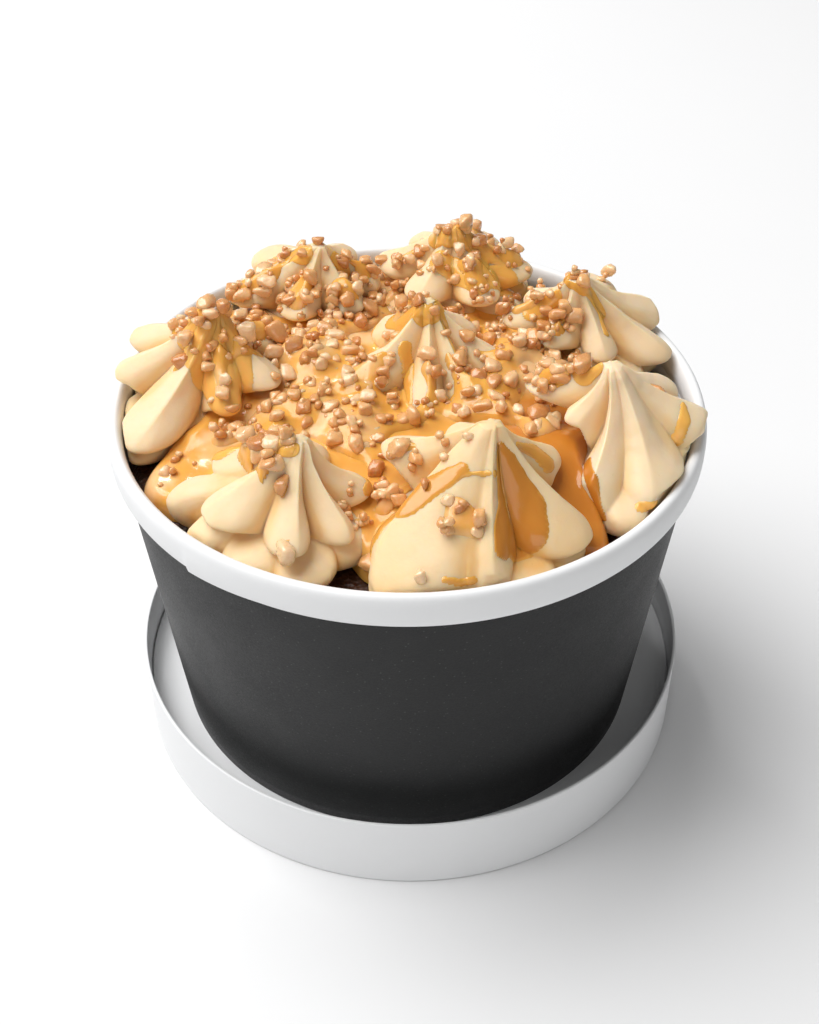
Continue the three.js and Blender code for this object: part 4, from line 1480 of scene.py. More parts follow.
RUNS: tuple[Run, ...] = (
    Run(1.1, 0.95, (
        (13.5, -29.8, 79.3, 0.6), (14.3, -30.7, 77.1, 1.6), (15.1, -32.0, 74.8, 2.5),
        (15.8, -33.3, 72.6, 3.3), (16.4, -34.8, 70.8, 3.9), (16.7, -36.2, 69.3, 4.2),
        (15.9, -36.8, 67.2, 3.3),
    )),
    Run(1.0, 0.9, (
        (14.2, -35.6, 70.4, 1.7), (15.0, -38.9, 67.8, 2.3),
    )),
    Run(1.1, 0.95, (
        (13.5, -31.1, 76.0, 1.3), (13.7, -33.0, 71.9, 1.7), (13.6, -38.3, 70.7, 1.9),
        (13.7, -40.9, 69.2, 1.7),
    )),
    Run(0.5, 0.6, (
        (6.5, -33.2, 76.0, 0.4), (9.1, -33.1, 76.8, 0.4), (12.6, -33.0, 76.7, 0.6),
    )),
    Run(0.9, 0.75, (
        (7.9, -32.5, 77.1, 1.1), (5.9, -32.9, 75.9, 1.6), (3.1, -33.4, 74.1, 2.0),
        (0.2, -34.6, 72.3, 2.0), (-2.1, -33.8, 69.1, 1.7), (-4.1, -36.3, 68.1, 1.3),
        (-5.6, -37.0, 64.2, 0.9),
    )),
    Run(0.6, 0.7, (
        (16.3, -26.4, 76.7, 0.6), (19.0, -24.7, 74.3, 1.3), (21.0, -25.1, 72.3, 1.5),
    )),
    Run(0.5, 1.0, (
        (27.7, -20.3, 68.9, 0.9), (27.7, -25.1, 69.3, 1.1), (28.5, -26.9, 66.9, 0.9),
        (29.3, -28.4, 64.6, 0.8), (29.3, -31.5, 64.1, 0.6),
    )),
    Run(0.7, 0.7, (
        (5.5, -45.4, 67.5, 0.6), (7.5, -45.2, 66.8, 0.7), (9.5, -44.6, 66.7, 0.6),
    )),
    Run(0.5, 0.35, (
        (21.0, 1.8, 69.7, 1.7), (25.4, 4.6, 68.3, 2.0), (27.5, -10.1, 77.9, 1.7),
        (29.3, -10.6, 79.6, 1.1),
    )),
    Run(0.35, 0.4, (
        (43.0, -11.6, 73.3, 0.6), (42.9, -14.1, 72.3, 1.1), (42.0, -15.8, 69.7, 1.1),
    )),
    Run(0.35, 0.4, (
        (35.0, -28.0, 66.2, 0.9), (37.3, -27.4, 66.3, 0.8),
    )),
    Run(0.8, 0.75, (
        (-11.0, -7.1, 68.7, 1.3), (-9.3, -9.8, 68.1, 1.6), (-7.0, -14.5, 67.8, 1.4),
        (-5.7, -19.4, 67.6, 1.2), (-5.8, -27.2, 69.0, 1.0),
    )),
    Run(0.7, 0.45, (
        (-25.3, -20.5, 71.7, 1.2), (-28.1, -20.7, 70.6, 1.2), (-32.5, -15.2, 64.9, 1.4),
    )),
    Run(0.5, 0.4, (
        (-22.5, -24.6, 73.6, 1.5), (-19.3, -26.6, 75.8, 1.8), (-16.6, -28.6, 77.7, 1.2),
    )),
    Run(0.8, 0.55, (
        (-2.5, 12.5, 73.1, 1.7), (0.5, 9.7, 75.7, 2.3), (3.8, 6.8, 78.7, 2.0),
        (5.4, 8.4, 78.8, 1.3),
    )),
    Run(0.8, 0.6, (
        (-0.8, 9.4, 73.5, 1.5), (-0.3, 3.2, 73.6, 1.3), (0.2, 1.7, 70.8, 1.2),
        (0.2, -2.1, 69.1, 1.0), (0.2, -6.0, 68.7, 0.8),
    )),
    Run(0.6, 0.55, (
        (4.8, 8.6, 79.4, 0.7), (5.8, 7.2, 76.5, 0.7), (7.4, 4.0, 74.1, 0.8), (9.1, 0.4, 72.1, 0.8),
        (10.2, -2.8, 70.9, 0.6),
    )),
    Run(0.6, 0.5, (
        (-6.0, 15.5, 68.5, 2.1), (-9.4, 13.2, 69.0, 2.1), (-12.1, 10.4, 69.8, 1.7),
    )),
    Run(0.7, 0.5, (
        (26.8, 17.1, 78.4, 1.2), (28.5, 14.3, 79.4, 1.4), (30.7, 14.5, 76.9, 1.0),
        (32.6, 13.9, 73.8, 0.9), (33.3, 9.9, 72.4, 0.7),
    )),
    Run(0.6, 0.55, (
        (24.1, 15.2, 76.1, 2.1), (21.1, 14.5, 73.8, 1.7), (25.6, 11.9, 73.9, 1.4),
    )),
    Run(1.1, 0.35, (
        (5.1, 32.8, 77.2, 1.8), (8.4, 31.4, 78.7, 2.1), (12.2, 33.3, 76.4, 2.5),
        (15.2, 33.4, 74.4, 2.2), (18.1, 32.9, 72.6, 1.5),
    )),
    Run(1.1, 0.4, (
        (5.8, 28.5, 75.2, 2.1), (9.0, 27.8, 73.6, 2.3), (12.4, 25.9, 73.5, 2.8),
        (16.6, 29.9, 70.3, 2.9), (20.7, 35.1, 65.9, 2.2),
    )),
    Run(0.9, 0.45, (
        (11.2, 32.3, 75.9, 1.6), (12.6, 31.4, 73.5, 1.8), (13.1, 25.9, 73.1, 1.8),
    )),
    Run(0.8, 0.4, (
        (-24.9, 32.0, 71.9, 1.6), (-21.7, 31.6, 74.2, 2.4), (-17.9, 27.1, 77.6, 1.8),
    )),
    Run(0.6, 0.45, (
        (-12.6, 28.2, 76.2, 1.1), (-10.9, 28.2, 73.4, 1.1),
    )),
    Run(1.1, 0.32, (
        (-33.0, 5.4, 78.8, 2.0), (-32.2, 1.5, 77.7, 2.9), (-32.2, 1.5, 73.8, 3.5),
        (-31.2, -1.9, 72.3, 3.6), (-29.9, -5.0, 71.1, 3.2), (-28.2, -7.4, 69.7, 2.9),
    )),
    Run(1.0, 0.3, (
        (-29.8, 4.7, 79.2, 2.3), (-28.3, 3.0, 76.7, 3.0), (-27.6, 0.9, 74.2, 2.6),
        (-27.0, -1.1, 71.7, 2.3), (-26.3, -1.4, 67.9, 2.3),
    )),
    Run(0.8, 0.25, (
        (-35.4, 6.4, 77.0, 1.8), (-35.5, 2.9, 75.8, 2.0), (-34.1, -1.0, 75.0, 2.0),
    )),
)


@dataclass
class Caramel:
    """Sauce that lies between the rosettes, and runs of it down their sides.

    A tongue is (direction in degrees, reach, width in degrees). A mound is (x, y, spread, rise).
    The sauce is clear at the front right, and has a milky painted sheen at the back and at the left:
    each of those pairs says where that begins and where it is full.
    """

    cup: PaperCup
    cream: PipedCream
    level: float = 67.8
    wall_level: float = 64.0
    reach: float = 33.0
    fall_start: float = 16.0
    fall_end: float = 46.0
    tongues: tuple[tuple[float, float, float], ...] = (
        (-50, 13.0, 10), (-153, 13.0, 15), (-97, 6.0, 7), (97, 11.0, 10), (143, 10.0, 10),
    )
    mounds: tuple[tuple[float, float, float, float], ...] = (
        (24, -18, 8, 4.2), (-5, 37, 9, 3.2), (-14, 5, 10, 3.0), (-30, 22, 8, 3.6), (18, 5, 9, 2.6),
    )
    runs: tuple[Run, ...] = RUNS
    columns: int = 460
    rings: int = 84
    middle_share: float = 0.04
    bead: float = 0.7
    bead_width: float = 1.0
    edge_width: float = 3.0
    coarse_waves: Point = (7.0, 0.45)
    fine_waves: Point = (2.5, 0.12)
    under_cream: float = 2.0
    settle: int = 60
    fill: float = 2.0
    film: float = 0.35
    root: float = 0.8
    run_reach: float = 40.0
    clear_right: Point = (12.0, 22.0)
    clear_front: Point = (0.0, -8.0)
    painted_sheen_back: Point = (-14.0, 6.0)
    painted_sheen_left: Point = (-12.0, -24.0)
    full_from: float = 0.45
    least_share: float = 0.3
    least_run: float = 0.05
    run_edge: float = 0.25

    def reach_at(self, direction: Array) -> Array:
        """How far out the sauce would reach without the cup.

        Args:
            direction: Directions in radians.

        Returns:
            The reach in each direction.
        """
        reach = np.full_like(direction, self.reach)
        for middle, more, width in self.tongues:
            off = angle_between(np.degrees(direction), middle)
            reach = reach + more * np.exp(-((off / width) ** 2))
        return reach

    def level_at(self, x: Array, y: Array) -> Array:
        """Height of the sauce, before it climbs the cream.

        Args:
            x: Places.
            y: Places.

        Returns:
            Heights above the table.
        """
        out = smooth_step(self.fall_start, self.fall_end, np.hypot(x, y))
        level = self.level + (self.wall_level - self.level) * out
        for middle_x, middle_y, spread, rise in self.mounds:
            away = ((x - middle_x) ** 2 + (y - middle_y) ** 2) / spread ** 2
            level = level + rise * np.exp(-away)
        return level

    def to_cream(self, x: Array, y: Array, z: Array) -> Array:
        """Distance across the sauce from a point to the nearest cream, below 0 inside it.

        Args:
            x: Places.
            y: Places.
            z: Heights.

        Returns:
            Distances in millimetres.
        """
        nearest = np.full(x.shape, 99.0)
        for rosette in self.cream.rosettes:
            share = np.clip(rosette.share(z), 0.0, 1.0)
            ax, ay = rosette.axis(share)
            direction = np.arctan2(y - ay, x - ax)
            away = np.hypot(x - ax, y - ay) - self.cream.radius(rosette, direction, share)
            nearest = np.minimum(nearest, away)
        return nearest

    def pool(self) -> Skin:
        """The sauce between the rosettes, with a bead where it climbs the cream.

        Returns:
            The closed skin.
        """
        turns = np.arange(self.columns) * 2 * math.pi / self.columns
        turn, share = np.meshgrid(turns, np.linspace(self.middle_share, 1.0, self.rings))
        reach = self.reach_at(turn)
        away_from_axis = share * np.minimum(reach, self.cup.wall_inside(self.wall_level) - FIT_GAP)
        x, y = away_from_axis * np.cos(turn), away_from_axis * np.sin(turn)
        z = self.level_at(x, y)
        away = self.to_cream(x, y, z)
        climb = self.bead * np.exp(-np.maximum(away, 0.0) / self.bead_width)
        flat = np.stack([x, y, z], axis=-1).reshape(-1, 3)
        (coarse, high), (fine, low_wave) = self.coarse_waves, self.fine_waves
        waves = lumps(flat, coarse, 5.0) * high + lumps(flat, fine, 6.0) * low_wave
        waves = waves.reshape(x.shape)
        edge = np.clip((reach - away_from_axis) / self.edge_width, 0.0, 1.0)
        z = CREAM_FLOOR + (z + climb + waves - CREAM_FLOOR) * np.sqrt(edge * (2.0 - edge))
        near = away > -self.under_cream
        shown = near | np.roll(near, -1, axis=1)
        cells = shown[:-1] | shown[1:]
        top = np.stack([x, y, z], axis=-1).reshape(-1, 3)
        low = np.stack([x, y, np.full_like(z, CREAM_FLOOR - 0.1)], axis=-1).reshape(-1, 3)
        return self.shell(top, low, cells, True, *self.pool_marks(x, y, waves, away))

    def pool_marks(self, x: Array, y: Array, waves: Array, away: Array) -> tuple[Array, Array]:
        """The pool's looks: deep and clear at the front right, a milky painted sheen at the back and
        left.

        Args:
            x: Places.
            y: Places.
            waves: Heights of the waves.
            away: Distances from the cream.

        Returns:
            How deep it looks, and how milky with painted sheen, 0 to 1 at each point.
        """
        front = smooth_step(*self.clear_right, x) * smooth_step(*self.clear_front, y)
        depth = 0.40 + waves * 0.4 + smooth_step(0.0, 3.0, away) * 0.25 + front * 0.7
        # Painted sheen: a milky tone at the back and at the left of the pool, none at the front
        # right.
        back, left = smooth_step(*self.painted_sheen_back, y), smooth_step(*self.painted_sheen_left, x)
        milk = np.maximum(back * 0.9, left * 0.8)
        milk = (milk * 0.9 + 0.1) * (1.0 - front)
        return np.clip(depth, 0.0, 1.0).reshape(-1), milk.reshape(-1)

    @staticmethod
    def shell(top: Array, low: Array, cells: Array, round_grid: bool, depth: Array,
              milk: Array) -> Skin:
        """A closed shell over some cells of a grid.

        Args:
            top: The outer points, row by row.
            low: The inner points, in the same order.
            cells: Which cells of the grid the shell covers.
            round_grid: True if the last column joins the first.
            depth: How deep the sauce lies at each point, 0 to 1.
            milk: How milky it is at each point, 0 to 1; on the pool this is painted sheen.

        Returns:
            The closed skin, without points that no face uses.
        """
        rows, columns = cells.shape
        wide = columns if round_grid else columns + 1
        total = len(top)

        def corners(i: int, j: int) -> tuple[int, int, int, int]:
            """The four corners of a cell, in order round it."""
            k = (j + 1) % wide
            return i * wide + j, i * wide + k, (i + 1) * wide + k, (i + 1) * wide + j

        def covered(i: int, j: int) -> bool:
            """Whether the shell covers a cell."""
            if round_grid:
                j %= columns
            return 0 <= i < rows and 0 <= j < columns and bool(cells[i, j])

        faces: list[Sequence[int]] = []
        for i, j in np.argwhere(cells):
            a, b, c, d = corners(i, j)
            faces.append((a, b, c, d))
            faces.append((d + total, c + total, b + total, a + total))
            sides = (((i - 1, j), a, b), ((i, j + 1), b, c), ((i + 1, j), c, d), ((i, j - 1), d, a))
            for (ni, nj), first, second in sides:
                if not covered(ni, nj):
                    faces.append((second, first, first + total, second + total))
        points = np.vstack([top, low])
        marks = {"depth": np.tile(depth, 2), "milk": np.tile(milk, 2)}
        used = np.unique(np.concatenate([np.asarray(f) for f in faces]))
        order = np.full(len(points), -1)
        order[used] = np.arange(len(used))
        faces = [tuple(int(order[v]) for v in f) for f in faces]
        return Skin(points[used], faces, {k: v[used] for k, v in marks.items()})

    def levelled(self, grid: Array, normal: Array, depth: Array) -> Array:
        """Depths of sauce that fills furrows and lies thin on ridges.

        Args:
            grid: The cream's points, by ring and column.
            normal: The cream's normals, one in each row.
            depth: Depths of an even coat, below 0 where none lies.

        Returns:
            Depths in millimetres.
        """
        coat = (normal * depth[:, None]).reshape(grid.shape)
        smooth = grid + coat
        for _ in range(self.settle):
            smooth = 0.25 * (np.roll(smooth, 1, axis=1) + np.roll(smooth, -1, axis=1)) + 0.5 * smooth
            smooth[1:-1] = 0.25 * (smooth[2:] + smooth[:-2]) + 0.5 * smooth[1:-1]
        risen = ((smooth - grid).reshape(-1, 3) * normal).sum(axis=1)
        risen = np.clip(risen, self.least_share * depth, depth + self.fill)
        return depth + (risen - depth) * smooth_step(0.0, self.full_from, depth)

    def drizzle(self, rosette: Rosette, skin: Skin) -> Skin | None:
        """The runs that lie on one rosette.

        Args:
            rosette: The rosette.
            skin: Its skin.

        Returns:
            A closed shell over the cream, or None where no sauce lies.
        """
        rings, columns = self.cream.grid(rosette)[0].shape
        points = skin.points[: rings * columns]
        depth = np.full(len(points), -1.0)
        tone = np.zeros(len(points))
        for run in self.runs:
            away = np.linalg.norm(np.array(run.line)[0, :3] - points.mean(axis=0))
            if away < self.run_reach:
                run_depth = run.depth_at(points)
                tone = np.where(run_depth > depth, run.tone, tone)
                depth = np.maximum(depth, run_depth)
        if depth.max() < self.least_run:
            return None
        grid = points.reshape(rings, columns, 3)
        round_way = np.roll(grid, -1, axis=1) - np.roll(grid, 1, axis=1)
        up_way = np.gradient(grid, axis=0)
        normal = np.cross(round_way, up_way).reshape(-1, 3)
        normal /= np.maximum(np.linalg.norm(normal, axis=1), 1e-9)[:, None]
        lies = (depth > 0.0).reshape(rings, columns)
        beside = np.roll(lies, -1, axis=1)
        cells = lies[:-1] | lies[1:] | beside[:-1] | beside[1:]
        depth = np.maximum(depth, -self.film)
        outer = points + normal * self.levelled(grid, normal, depth)[:, None]
        inner = points - normal * self.root
        tone = tone * smooth_step(-self.film, self.run_edge, depth)
        return self.shell(outer, inner, cells, True, tone, np.zeros(len(points)))

    def build(self, finish: bpy.types.Material, skins: Mapping[str, Skin]) -> list[Skin]:
        """Makes the sauce's pieces.

        Args:
            finish: The caramel.
            skins: The rosettes' skins by name.

        Returns:
            The sauce's skins.
        """
        pool = self.pool()
        pool.piece("caramel_between", CUP_PLACE, [finish], Slot.CARAMEL, ["caramel_pool"])
        runs = [self.drizzle(r, skins[r.name]) for r in self.cream.rosettes]
        joined = Skin.joined([run for run in runs if run is not None])
        joined.piece("caramel_runs", CUP_PLACE, [finish], Slot.CARAMEL,
                     [r.name for r in self.cream.rosettes])
        return [pool, joined]


# ------------------------------------------------------------------ brittle


@dataclass(frozen=True)
class Heap:
    """A heap of crumbs: where, how spread, how many and how large."""

    x: float
    y: float
    spread: float
    count: int
    small: float
    large: float


HEAPS = tuple(Heap(*row) for row in (
    (-6.8, -42.4, 0, 1, 1.8, 1.8), (-20, -41.4, 0, 1, 1.8, 1.8), (39.5, -8.1, 0, 1, 1.4, 1.4),
    (-13, 7, 7.0, 17, 1.0, 1.6), (-22, 18, 5.0, 8, 1.0, 1.6), (-8, -9, 6.0, 10, 1.0, 1.6),
    (-4, -18, 4.0, 5, 1.0, 1.6), (21, 2, 6.0, 12, 1.0, 1.7), (15, -8, 4.0, 4, 1.0, 1.5),
    (4, 9, 5.0, 6, 0.9, 1.3), (10, 32, 6.5, 9, 1.0, 1.5), (28, 18, 6.0, 8, 0.9, 1.4),
    (-31, 6, 5.0, 7, 1.0, 1.5), (-22, -23, 4.0, 3, 1.0, 1.8), (8, -34, 7.0, 4, 0.9, 1.1),
    (10, 30.5, 3.0, 6, 1.1, 1.6), (-17, 27.5, 3.0, 6, 1.1, 1.6),
))
FINE_HEAPS = tuple(Heap(*row) for row in (
    (-32.5, 2.7, 3.6, 15, 0.68, 1.77), (-35.8, 6.1, 2.6, 9, 0.5, 1.3),
    (-28.9, 2.9, 2.5, 10, 0.68, 1.42), (-32.5, 0.8, 2.5, 8, 0.5, 1.4),
    (-21.6, 30.6, 2.6, 7, 0.61, 1.53), (-8.4, 30.2, 3.4, 15, 0.54, 1.18),
    (-2.2, 32.9, 4, 14, 0.54, 1.18), (-11, 27.5, 2.5, 7, 0.54, 1.18),
    (-27.8, 24.3, 3.6, 19, 0.68, 1.89), (-22.1, 21.5, 4, 25, 0.68, 1.89),
    (-15.1, 18.9, 5, 37, 0.61, 1.65), (-24.3, 10.8, 4, 25, 0.68, 1.89),
    (-20.5, 8.6, 4.5, 37, 0.68, 1.89), (-15.2, 4.3, 4.5, 34, 0.61, 1.77),
    (-13, 10.4, 4, 21, 0.68, 1.89), (-17.2, -5.4, 4.5, 35, 0.61, 1.77),
    (-10.8, -4.4, 4.5, 35, 0.61, 1.89), (-5.9, -7.3, 4, 28, 0.61, 1.77),
    (-8.2, -12.2, 3.5, 19, 0.61, 1.65), (-20.2, -9.4, 4, 15, 0.61, 1.65),
    (-10, 20.8, 3.6, 27, 0.61, 1.65), (-0.3, 12.5, 2.6, 14, 0.54, 1.42),
    (-6.2, 24.3, 3, 16, 0.61, 1.42), (-12.5, 20.1, 3.6, 25, 0.61, 1.42),
    (5.4, 0.4, 2.4, 7, 0.68, 1.53), (7.3, -3, 2.2, 6, 0.5, 1.2), (3.4, -5.7, 1.8, 6, 0.5, 1),
    (-4.7, -0, 2.4, 10, 0.61, 1.42), (-1.3, 30.2, 4, 20, 0.54, 1.3), (4, 24.3, 2.5, 7, 0.54, 1.18),
    (5.8, 30.5, 2.8, 9, 0.54, 1.3), (10.3, 32.1, 2.6, 9, 0.61, 1.53),
    (16.2, 41.6, 3, 12, 0.61, 1.65), (18.1, 32.9, 3, 9, 0.54, 1.18), (7.6, 28.1, 3, 7, 0.54, 1.18),
    (13.6, 22.5, 4, 19, 0.54, 1.3), (19.2, 26.4, 4, 19, 0.54, 1.3),
    (10.2, 23.1, 3.5, 11, 0.54, 1.18), (18.3, 11.9, 4.5, 37, 0.61, 1.77),
    (23.9, 11, 4, 25, 0.61, 1.77), (25.5, 9.1, 3, 11, 0.61, 1.53),
    (15.2, 16.7, 3.5, 16, 0.54, 1.42), (12, 1.2, 3.4, 15, 0.68, 1.77),
    (15.9, -2.6, 3.6, 19, 0.81, 2.24), (20.1, -8.9, 4, 19, 0.81, 2.24),
    (23.9, -9.3, 3, 11, 0.68, 1.89), (14.9, -7.7, 3, 12, 0.61, 1.65),
    (10.1, -6.3, 2.6, 9, 0.61, 1.65), (22.1, -7.4, 3, 7, 0.61, 1.53),
    (28.6, 15.4, 1.2, 3, 0.5, 1.2), (34.8, 28.7, 1.4, 4, 0.6, 1.3), (25.7, 14.8, 3, 6, 0.54, 1.18),
    (21.7, 13.3, 3, 10, 0.54, 1.3), (1.2, -27.3, 2.6, 7, 0.54, 1.42),
    (-1.8, -26.6, 2.6, 11, 0.61, 1.65), (-3.2, -29.2, 2, 9, 0.61, 1.53),
    (3.5, -27.4, 2.2, 8, 0.4, 1), (-8.5, -29, 1.6, 6, 0.45, 1.2), (-9.1, -29.4, 1.2, 3, 0.5, 1.1),
    (-6.2, -31.9, 1.6, 6, 0.4, 1), (-23.3, -24, 2.2, 9, 0.68, 1.77),
    (-19.1, -29.1, 2.2, 9, 0.68, 1.77), (-21.8, -13.9, 2, 6, 0.68, 1.65),
    (-26.7, -8.7, 3.5, 14, 0.61, 1.53), (-30.6, -10.4, 3, 6, 0.61, 1.42),
    (-35.6, -16.6, 3, 7, 0.4, 0.9), (-13.6, -27.5, 0.4, 2, 0.8, 1.1),
    (-18.6, -11.6, 0.5, 2, 0.8, 1.2), (-12.2, -9.7, 2, 6, 0.68, 1.53), (8, -37.2, 0.5, 2, 0.9, 1.2),
    (10.4, -38.1, 0.6, 2, 1, 1.3), (5.3, -39.4, 0.8, 5, 0.8, 1.1), (2, -45.3, 0.2, 1, 1.2, 1.3),
    (-5.5, -37.9, 0.1, 1, 1.7, 1.9), (-17.2, -40.3, 0.1, 1, 1.7, 1.9),
))


@dataclass
class Brittle:
    """Crumbs of nut brittle that were strewn over the top, and the syrup between them.

    Lengths are in millimetres. A pair is (least, most), and the tones are a beta draw's numbers.
    """

    seed: int = 20
    heaps: tuple[Heap, ...] = HEAPS
    fine_heaps: tuple[Heap, ...] = FINE_HEAPS
    corners: int = 9
    large: float = 1.0
    sides: tuple[int, int] = (7, 11)
    side_reach: Point = (0.62, 0.98)
    end_reach: Point = (0.85, 1.15)
    squash: Point = (0.75, 1.2)
    tones: Point = (1.1, 1.3)
    worn: float = 9.0
    roughness: float = 0.03
    flatness: float = 0.85
    rest_height: float = 0.30
    tallest: float = 2.6
    stack: float = 0.40
    closest: float = 0.75
    closest_large: float = 0.9
    steepest: float = 0.40
    farthest: float = 46.0
    coarse_tail: float = 0.9
    fine_tail: float = 0.95
    fine_sizes: float = 1.6
    syrup_cell: float = 0.4
    syrup_level: float = 0.95
    syrup_from: float = 0.20
    syrup_full: float = 0.45
    syrup_steepest: float = 1.5
    syrup_near: float = 0.04
    syrup_seen: float = 0.05
    syrup_sink: float = 0.6
    syrup_root: float = 0.7
    syrup_tone: float = 0.58
    syrup_milk: float = 6.0
    blur: int = 4
    places: list[tuple[float, float, float, float]] = field(default_factory=list)

    @staticmethod
    def ball(finer: int) -> tuple[Array, list[Sequence[int]]]:
        """An even ball of triangles.

        Args:
            finer: How often each triangle of the icosahedron is split.

        Returns:
            The unit points and the faces.
        """
        gold = (1 + 5 ** 0.5) / 2
        points = [Vector(p).normalized() for p in (
            (-1, gold, 0), (1, gold, 0), (-1, -gold, 0), (1, -gold, 0),
            (0, -1, gold), (0, 1, gold), (0, -1, -gold), (0, 1, -gold),
            (gold, 0, -1), (gold, 0, 1), (-gold, 0, -1), (-gold, 0, 1),
        )]
        faces = [
            (0, 11, 5), (0, 5, 1), (0, 1, 7), (0, 7, 10), (0, 10, 11), (1, 5, 9), (5, 11, 4),
            (11, 10, 2), (10, 7, 6), (7, 1, 8), (3, 9, 4), (3, 4, 2), (3, 2, 6), (3, 6, 8),
            (3, 8, 9), (4, 9, 5), (2, 4, 11), (6, 2, 10), (8, 6, 7), (9, 8, 1),
        ]
        for _ in range(finer):
            middle: dict[tuple[int, int], int] = {}
            split = []

            def halfway(a: int, b: int) -> int:
                """The point halfway between two, made once.

                Args:
                    a: One point's number.
                    b: The other point's number.

                Returns:
                    The number of the point between them.
                """
                key = (min(a, b), max(a, b))
                if key not in middle:
                    points.append((points[a] + points[b]).normalized())
                    middle[key] = len(points) - 1
                return middle[key]

            for a, b, c in faces:
                ab, bc, ca = halfway(a, b), halfway(b, c), halfway(c, a)
                split += [(a, ab, ca), (b, bc, ab), (c, ca, bc), (ab, bc, ca)]
            faces = split
        return np.array([tuple(p) for p in points]), faces

    def chip(self, rng: np.random.RandomState, radius: float, ball: Array) -> Array:
        """An irregular chip with flat sides and worn edges.

        Args:
            rng: The seeded draws.
            radius: Its mean radius in millimetres.
            ball: Unit points.

        Returns:
            The chip's points about its middle.
        """
        count = rng.randint(*self.sides)
        normals = rng.normal(size=(count, 3))
        normals /= np.linalg.norm(normals, axis=1)[:, None]
        ways = np.vstack([normals, np.eye(3), -np.eye(3)])
        reach = np.concatenate(
            [rng.uniform(*self.side_reach, count), rng.uniform(*self.end_reach, 6)])
        facing = np.maximum(ball @ ways.T, 0.0) / reach
        far = (facing ** self.worn).sum(axis=1) ** (-1.0 / self.worn)
        squash = rng.uniform(*self.squash, 3)
        squash[2] *= self.flatness
        rough = 1.0 + self.roughness * rng.normal(size=len(ball))
        return ball * (far * rough)[:, None] * squash * radius

    @staticmethod
    def ground(trees: Sequence[BVHTree], x: float, y: float) -> tuple[Vector, Vector] | None:
        """The highest point below the sky at a place.

        Args:
            trees: What may lie there.
            x: Place.
            y: Place.

        Returns:
            The point and the way it faces, or None where nothing lies.
        """
        hits = [tree.ray_cast(Vector((x, y, SKY)), DOWN)[:2] for tree in trees]
        hits = [hit for hit in hits if hit[0] is not None]
        return max(hits, key=lambda hit: hit[0].z, default=None)

    def drop(self, trees: Sequence[BVHTree], x: float, y: float, radius: float) -> float | None:
        """Where a crumb comes to rest.

        Args:
            trees: What it may fall on.
            x: Place.
            y: Place.
            radius: Its radius.

        Returns:
            The height of its middle, or None where nothing is below or the heap is too high.
        """
        found = self.ground(trees, x, y)
        if found is None:
            return None
        place, facing = found
        if radius < self.large and abs(facing.z) < self.steepest:
            return None
        rest = place.z + radius * self.rest_height
        for px, py, pz, pr in self.places:
            both = pr + radius
            apart = math.hypot(px - x, py - y)
            if apart < self.closest * both:
                over = math.sqrt(1.0 - (apart / both) ** 2)
                rest = max(rest, pz + self.stack * both * over)
        return rest if rest < place.z + self.tallest else None

    def coarse(self, trees: Sequence[BVHTree]) -> None:
        """Lays the large crumbs where the solids have them.

        Args:
            trees: What they may fall on.
        """
        draw = Draw(self.seed)
        laid: list[tuple[float, float, float]] = []
        for heap in self.heaps:
            for _ in range(heap.count):
                turn = draw() * 2 * math.pi
                away = heap.spread * math.sqrt(-math.log(1 - self.coarse_tail * draw()))
                radius = heap.small + (heap.large - heap.small) * draw() ** 2
                for _ in range(self.corners + 1):
                    draw()
                x, y = heap.x + away * math.cos(turn), heap.y + away * math.sin(turn)
                near = (math.hypot(px - x, py - y) / (pr + radius) for px, py, pr in laid)
                if min(near, default=1.0) < self.closest_large:
                    continue
                z = self.drop(trees, x, y, radius)
                if z is not None:
                    laid.append((x, y, radius))
                    self.places.append((x, y, z, radius))

    def fine(self, trees: Sequence[BVHTree], rng: np.random.RandomState) -> None:
        """Strews smaller crumbs over the same heaps.

        Args:
            trees: What they may fall on.
            rng: The seeded draws.
        """
        for heap in self.fine_heaps:
            for _ in range(heap.count):
                turn = rng.uniform(0, 2 * math.pi)
                away = heap.spread * math.sqrt(-math.log(1 - self.fine_tail * rng.uniform()))
                radius = heap.small + (heap.large - heap.small) * rng.uniform() ** self.fine_sizes
                x, y = heap.x + away * math.cos(turn), heap.y + away * math.sin(turn)
                if math.hypot(x, y) > self.farthest:
                    continue
                z = self.drop(trees, x, y, radius)
                if z is not None:
                    self.places.append((x, y, z, radius))

    @staticmethod
    def blurred(values: Array, spread: int) -> Array:
        """A grid of values, each averaged with those near it.

        Args:
            values: The grid.
            spread: How many cells wide the average is on each side.

        Returns:
            The blurred grid.
        """
        weights = np.exp(-0.5 * (np.arange(-2 * spread, 2 * spread + 1) / spread) ** 2)
        weights /= weights.sum()
        for axis in (0, 1):
            values = np.apply_along_axis(np.convolve, axis, values, weights, "same")
        return values

    def pile(self, x: Array, y: Array, line: Array) -> Array:
        """Heights of the crumbs' tops over a grid.

        Args:
            x: The grid's places.
            y: The grid's places.
            line: The places along either side of the grid.

        Returns:
            The heights, 0 where no crumb lies.
        """
        pile = np.zeros(x.shape)
        for cx, cy, cz, radius in self.places:
            j0, j1 = np.searchsorted(line, (cx - radius, cx + radius))
            i0, i1 = np.searchsorted(line, (cy - radius, cy + radius))
            part = (slice(i0, i1), slice(j0, j1))
            inside = radius ** 2 - (x[part] - cx) ** 2 - (y[part] - cy) ** 2
            top = np.where(inside > 0.0, cz + np.sqrt(np.maximum(inside, 0.0)), 0.0)
            pile[part] = np.maximum(pile[part], top)
        return pile

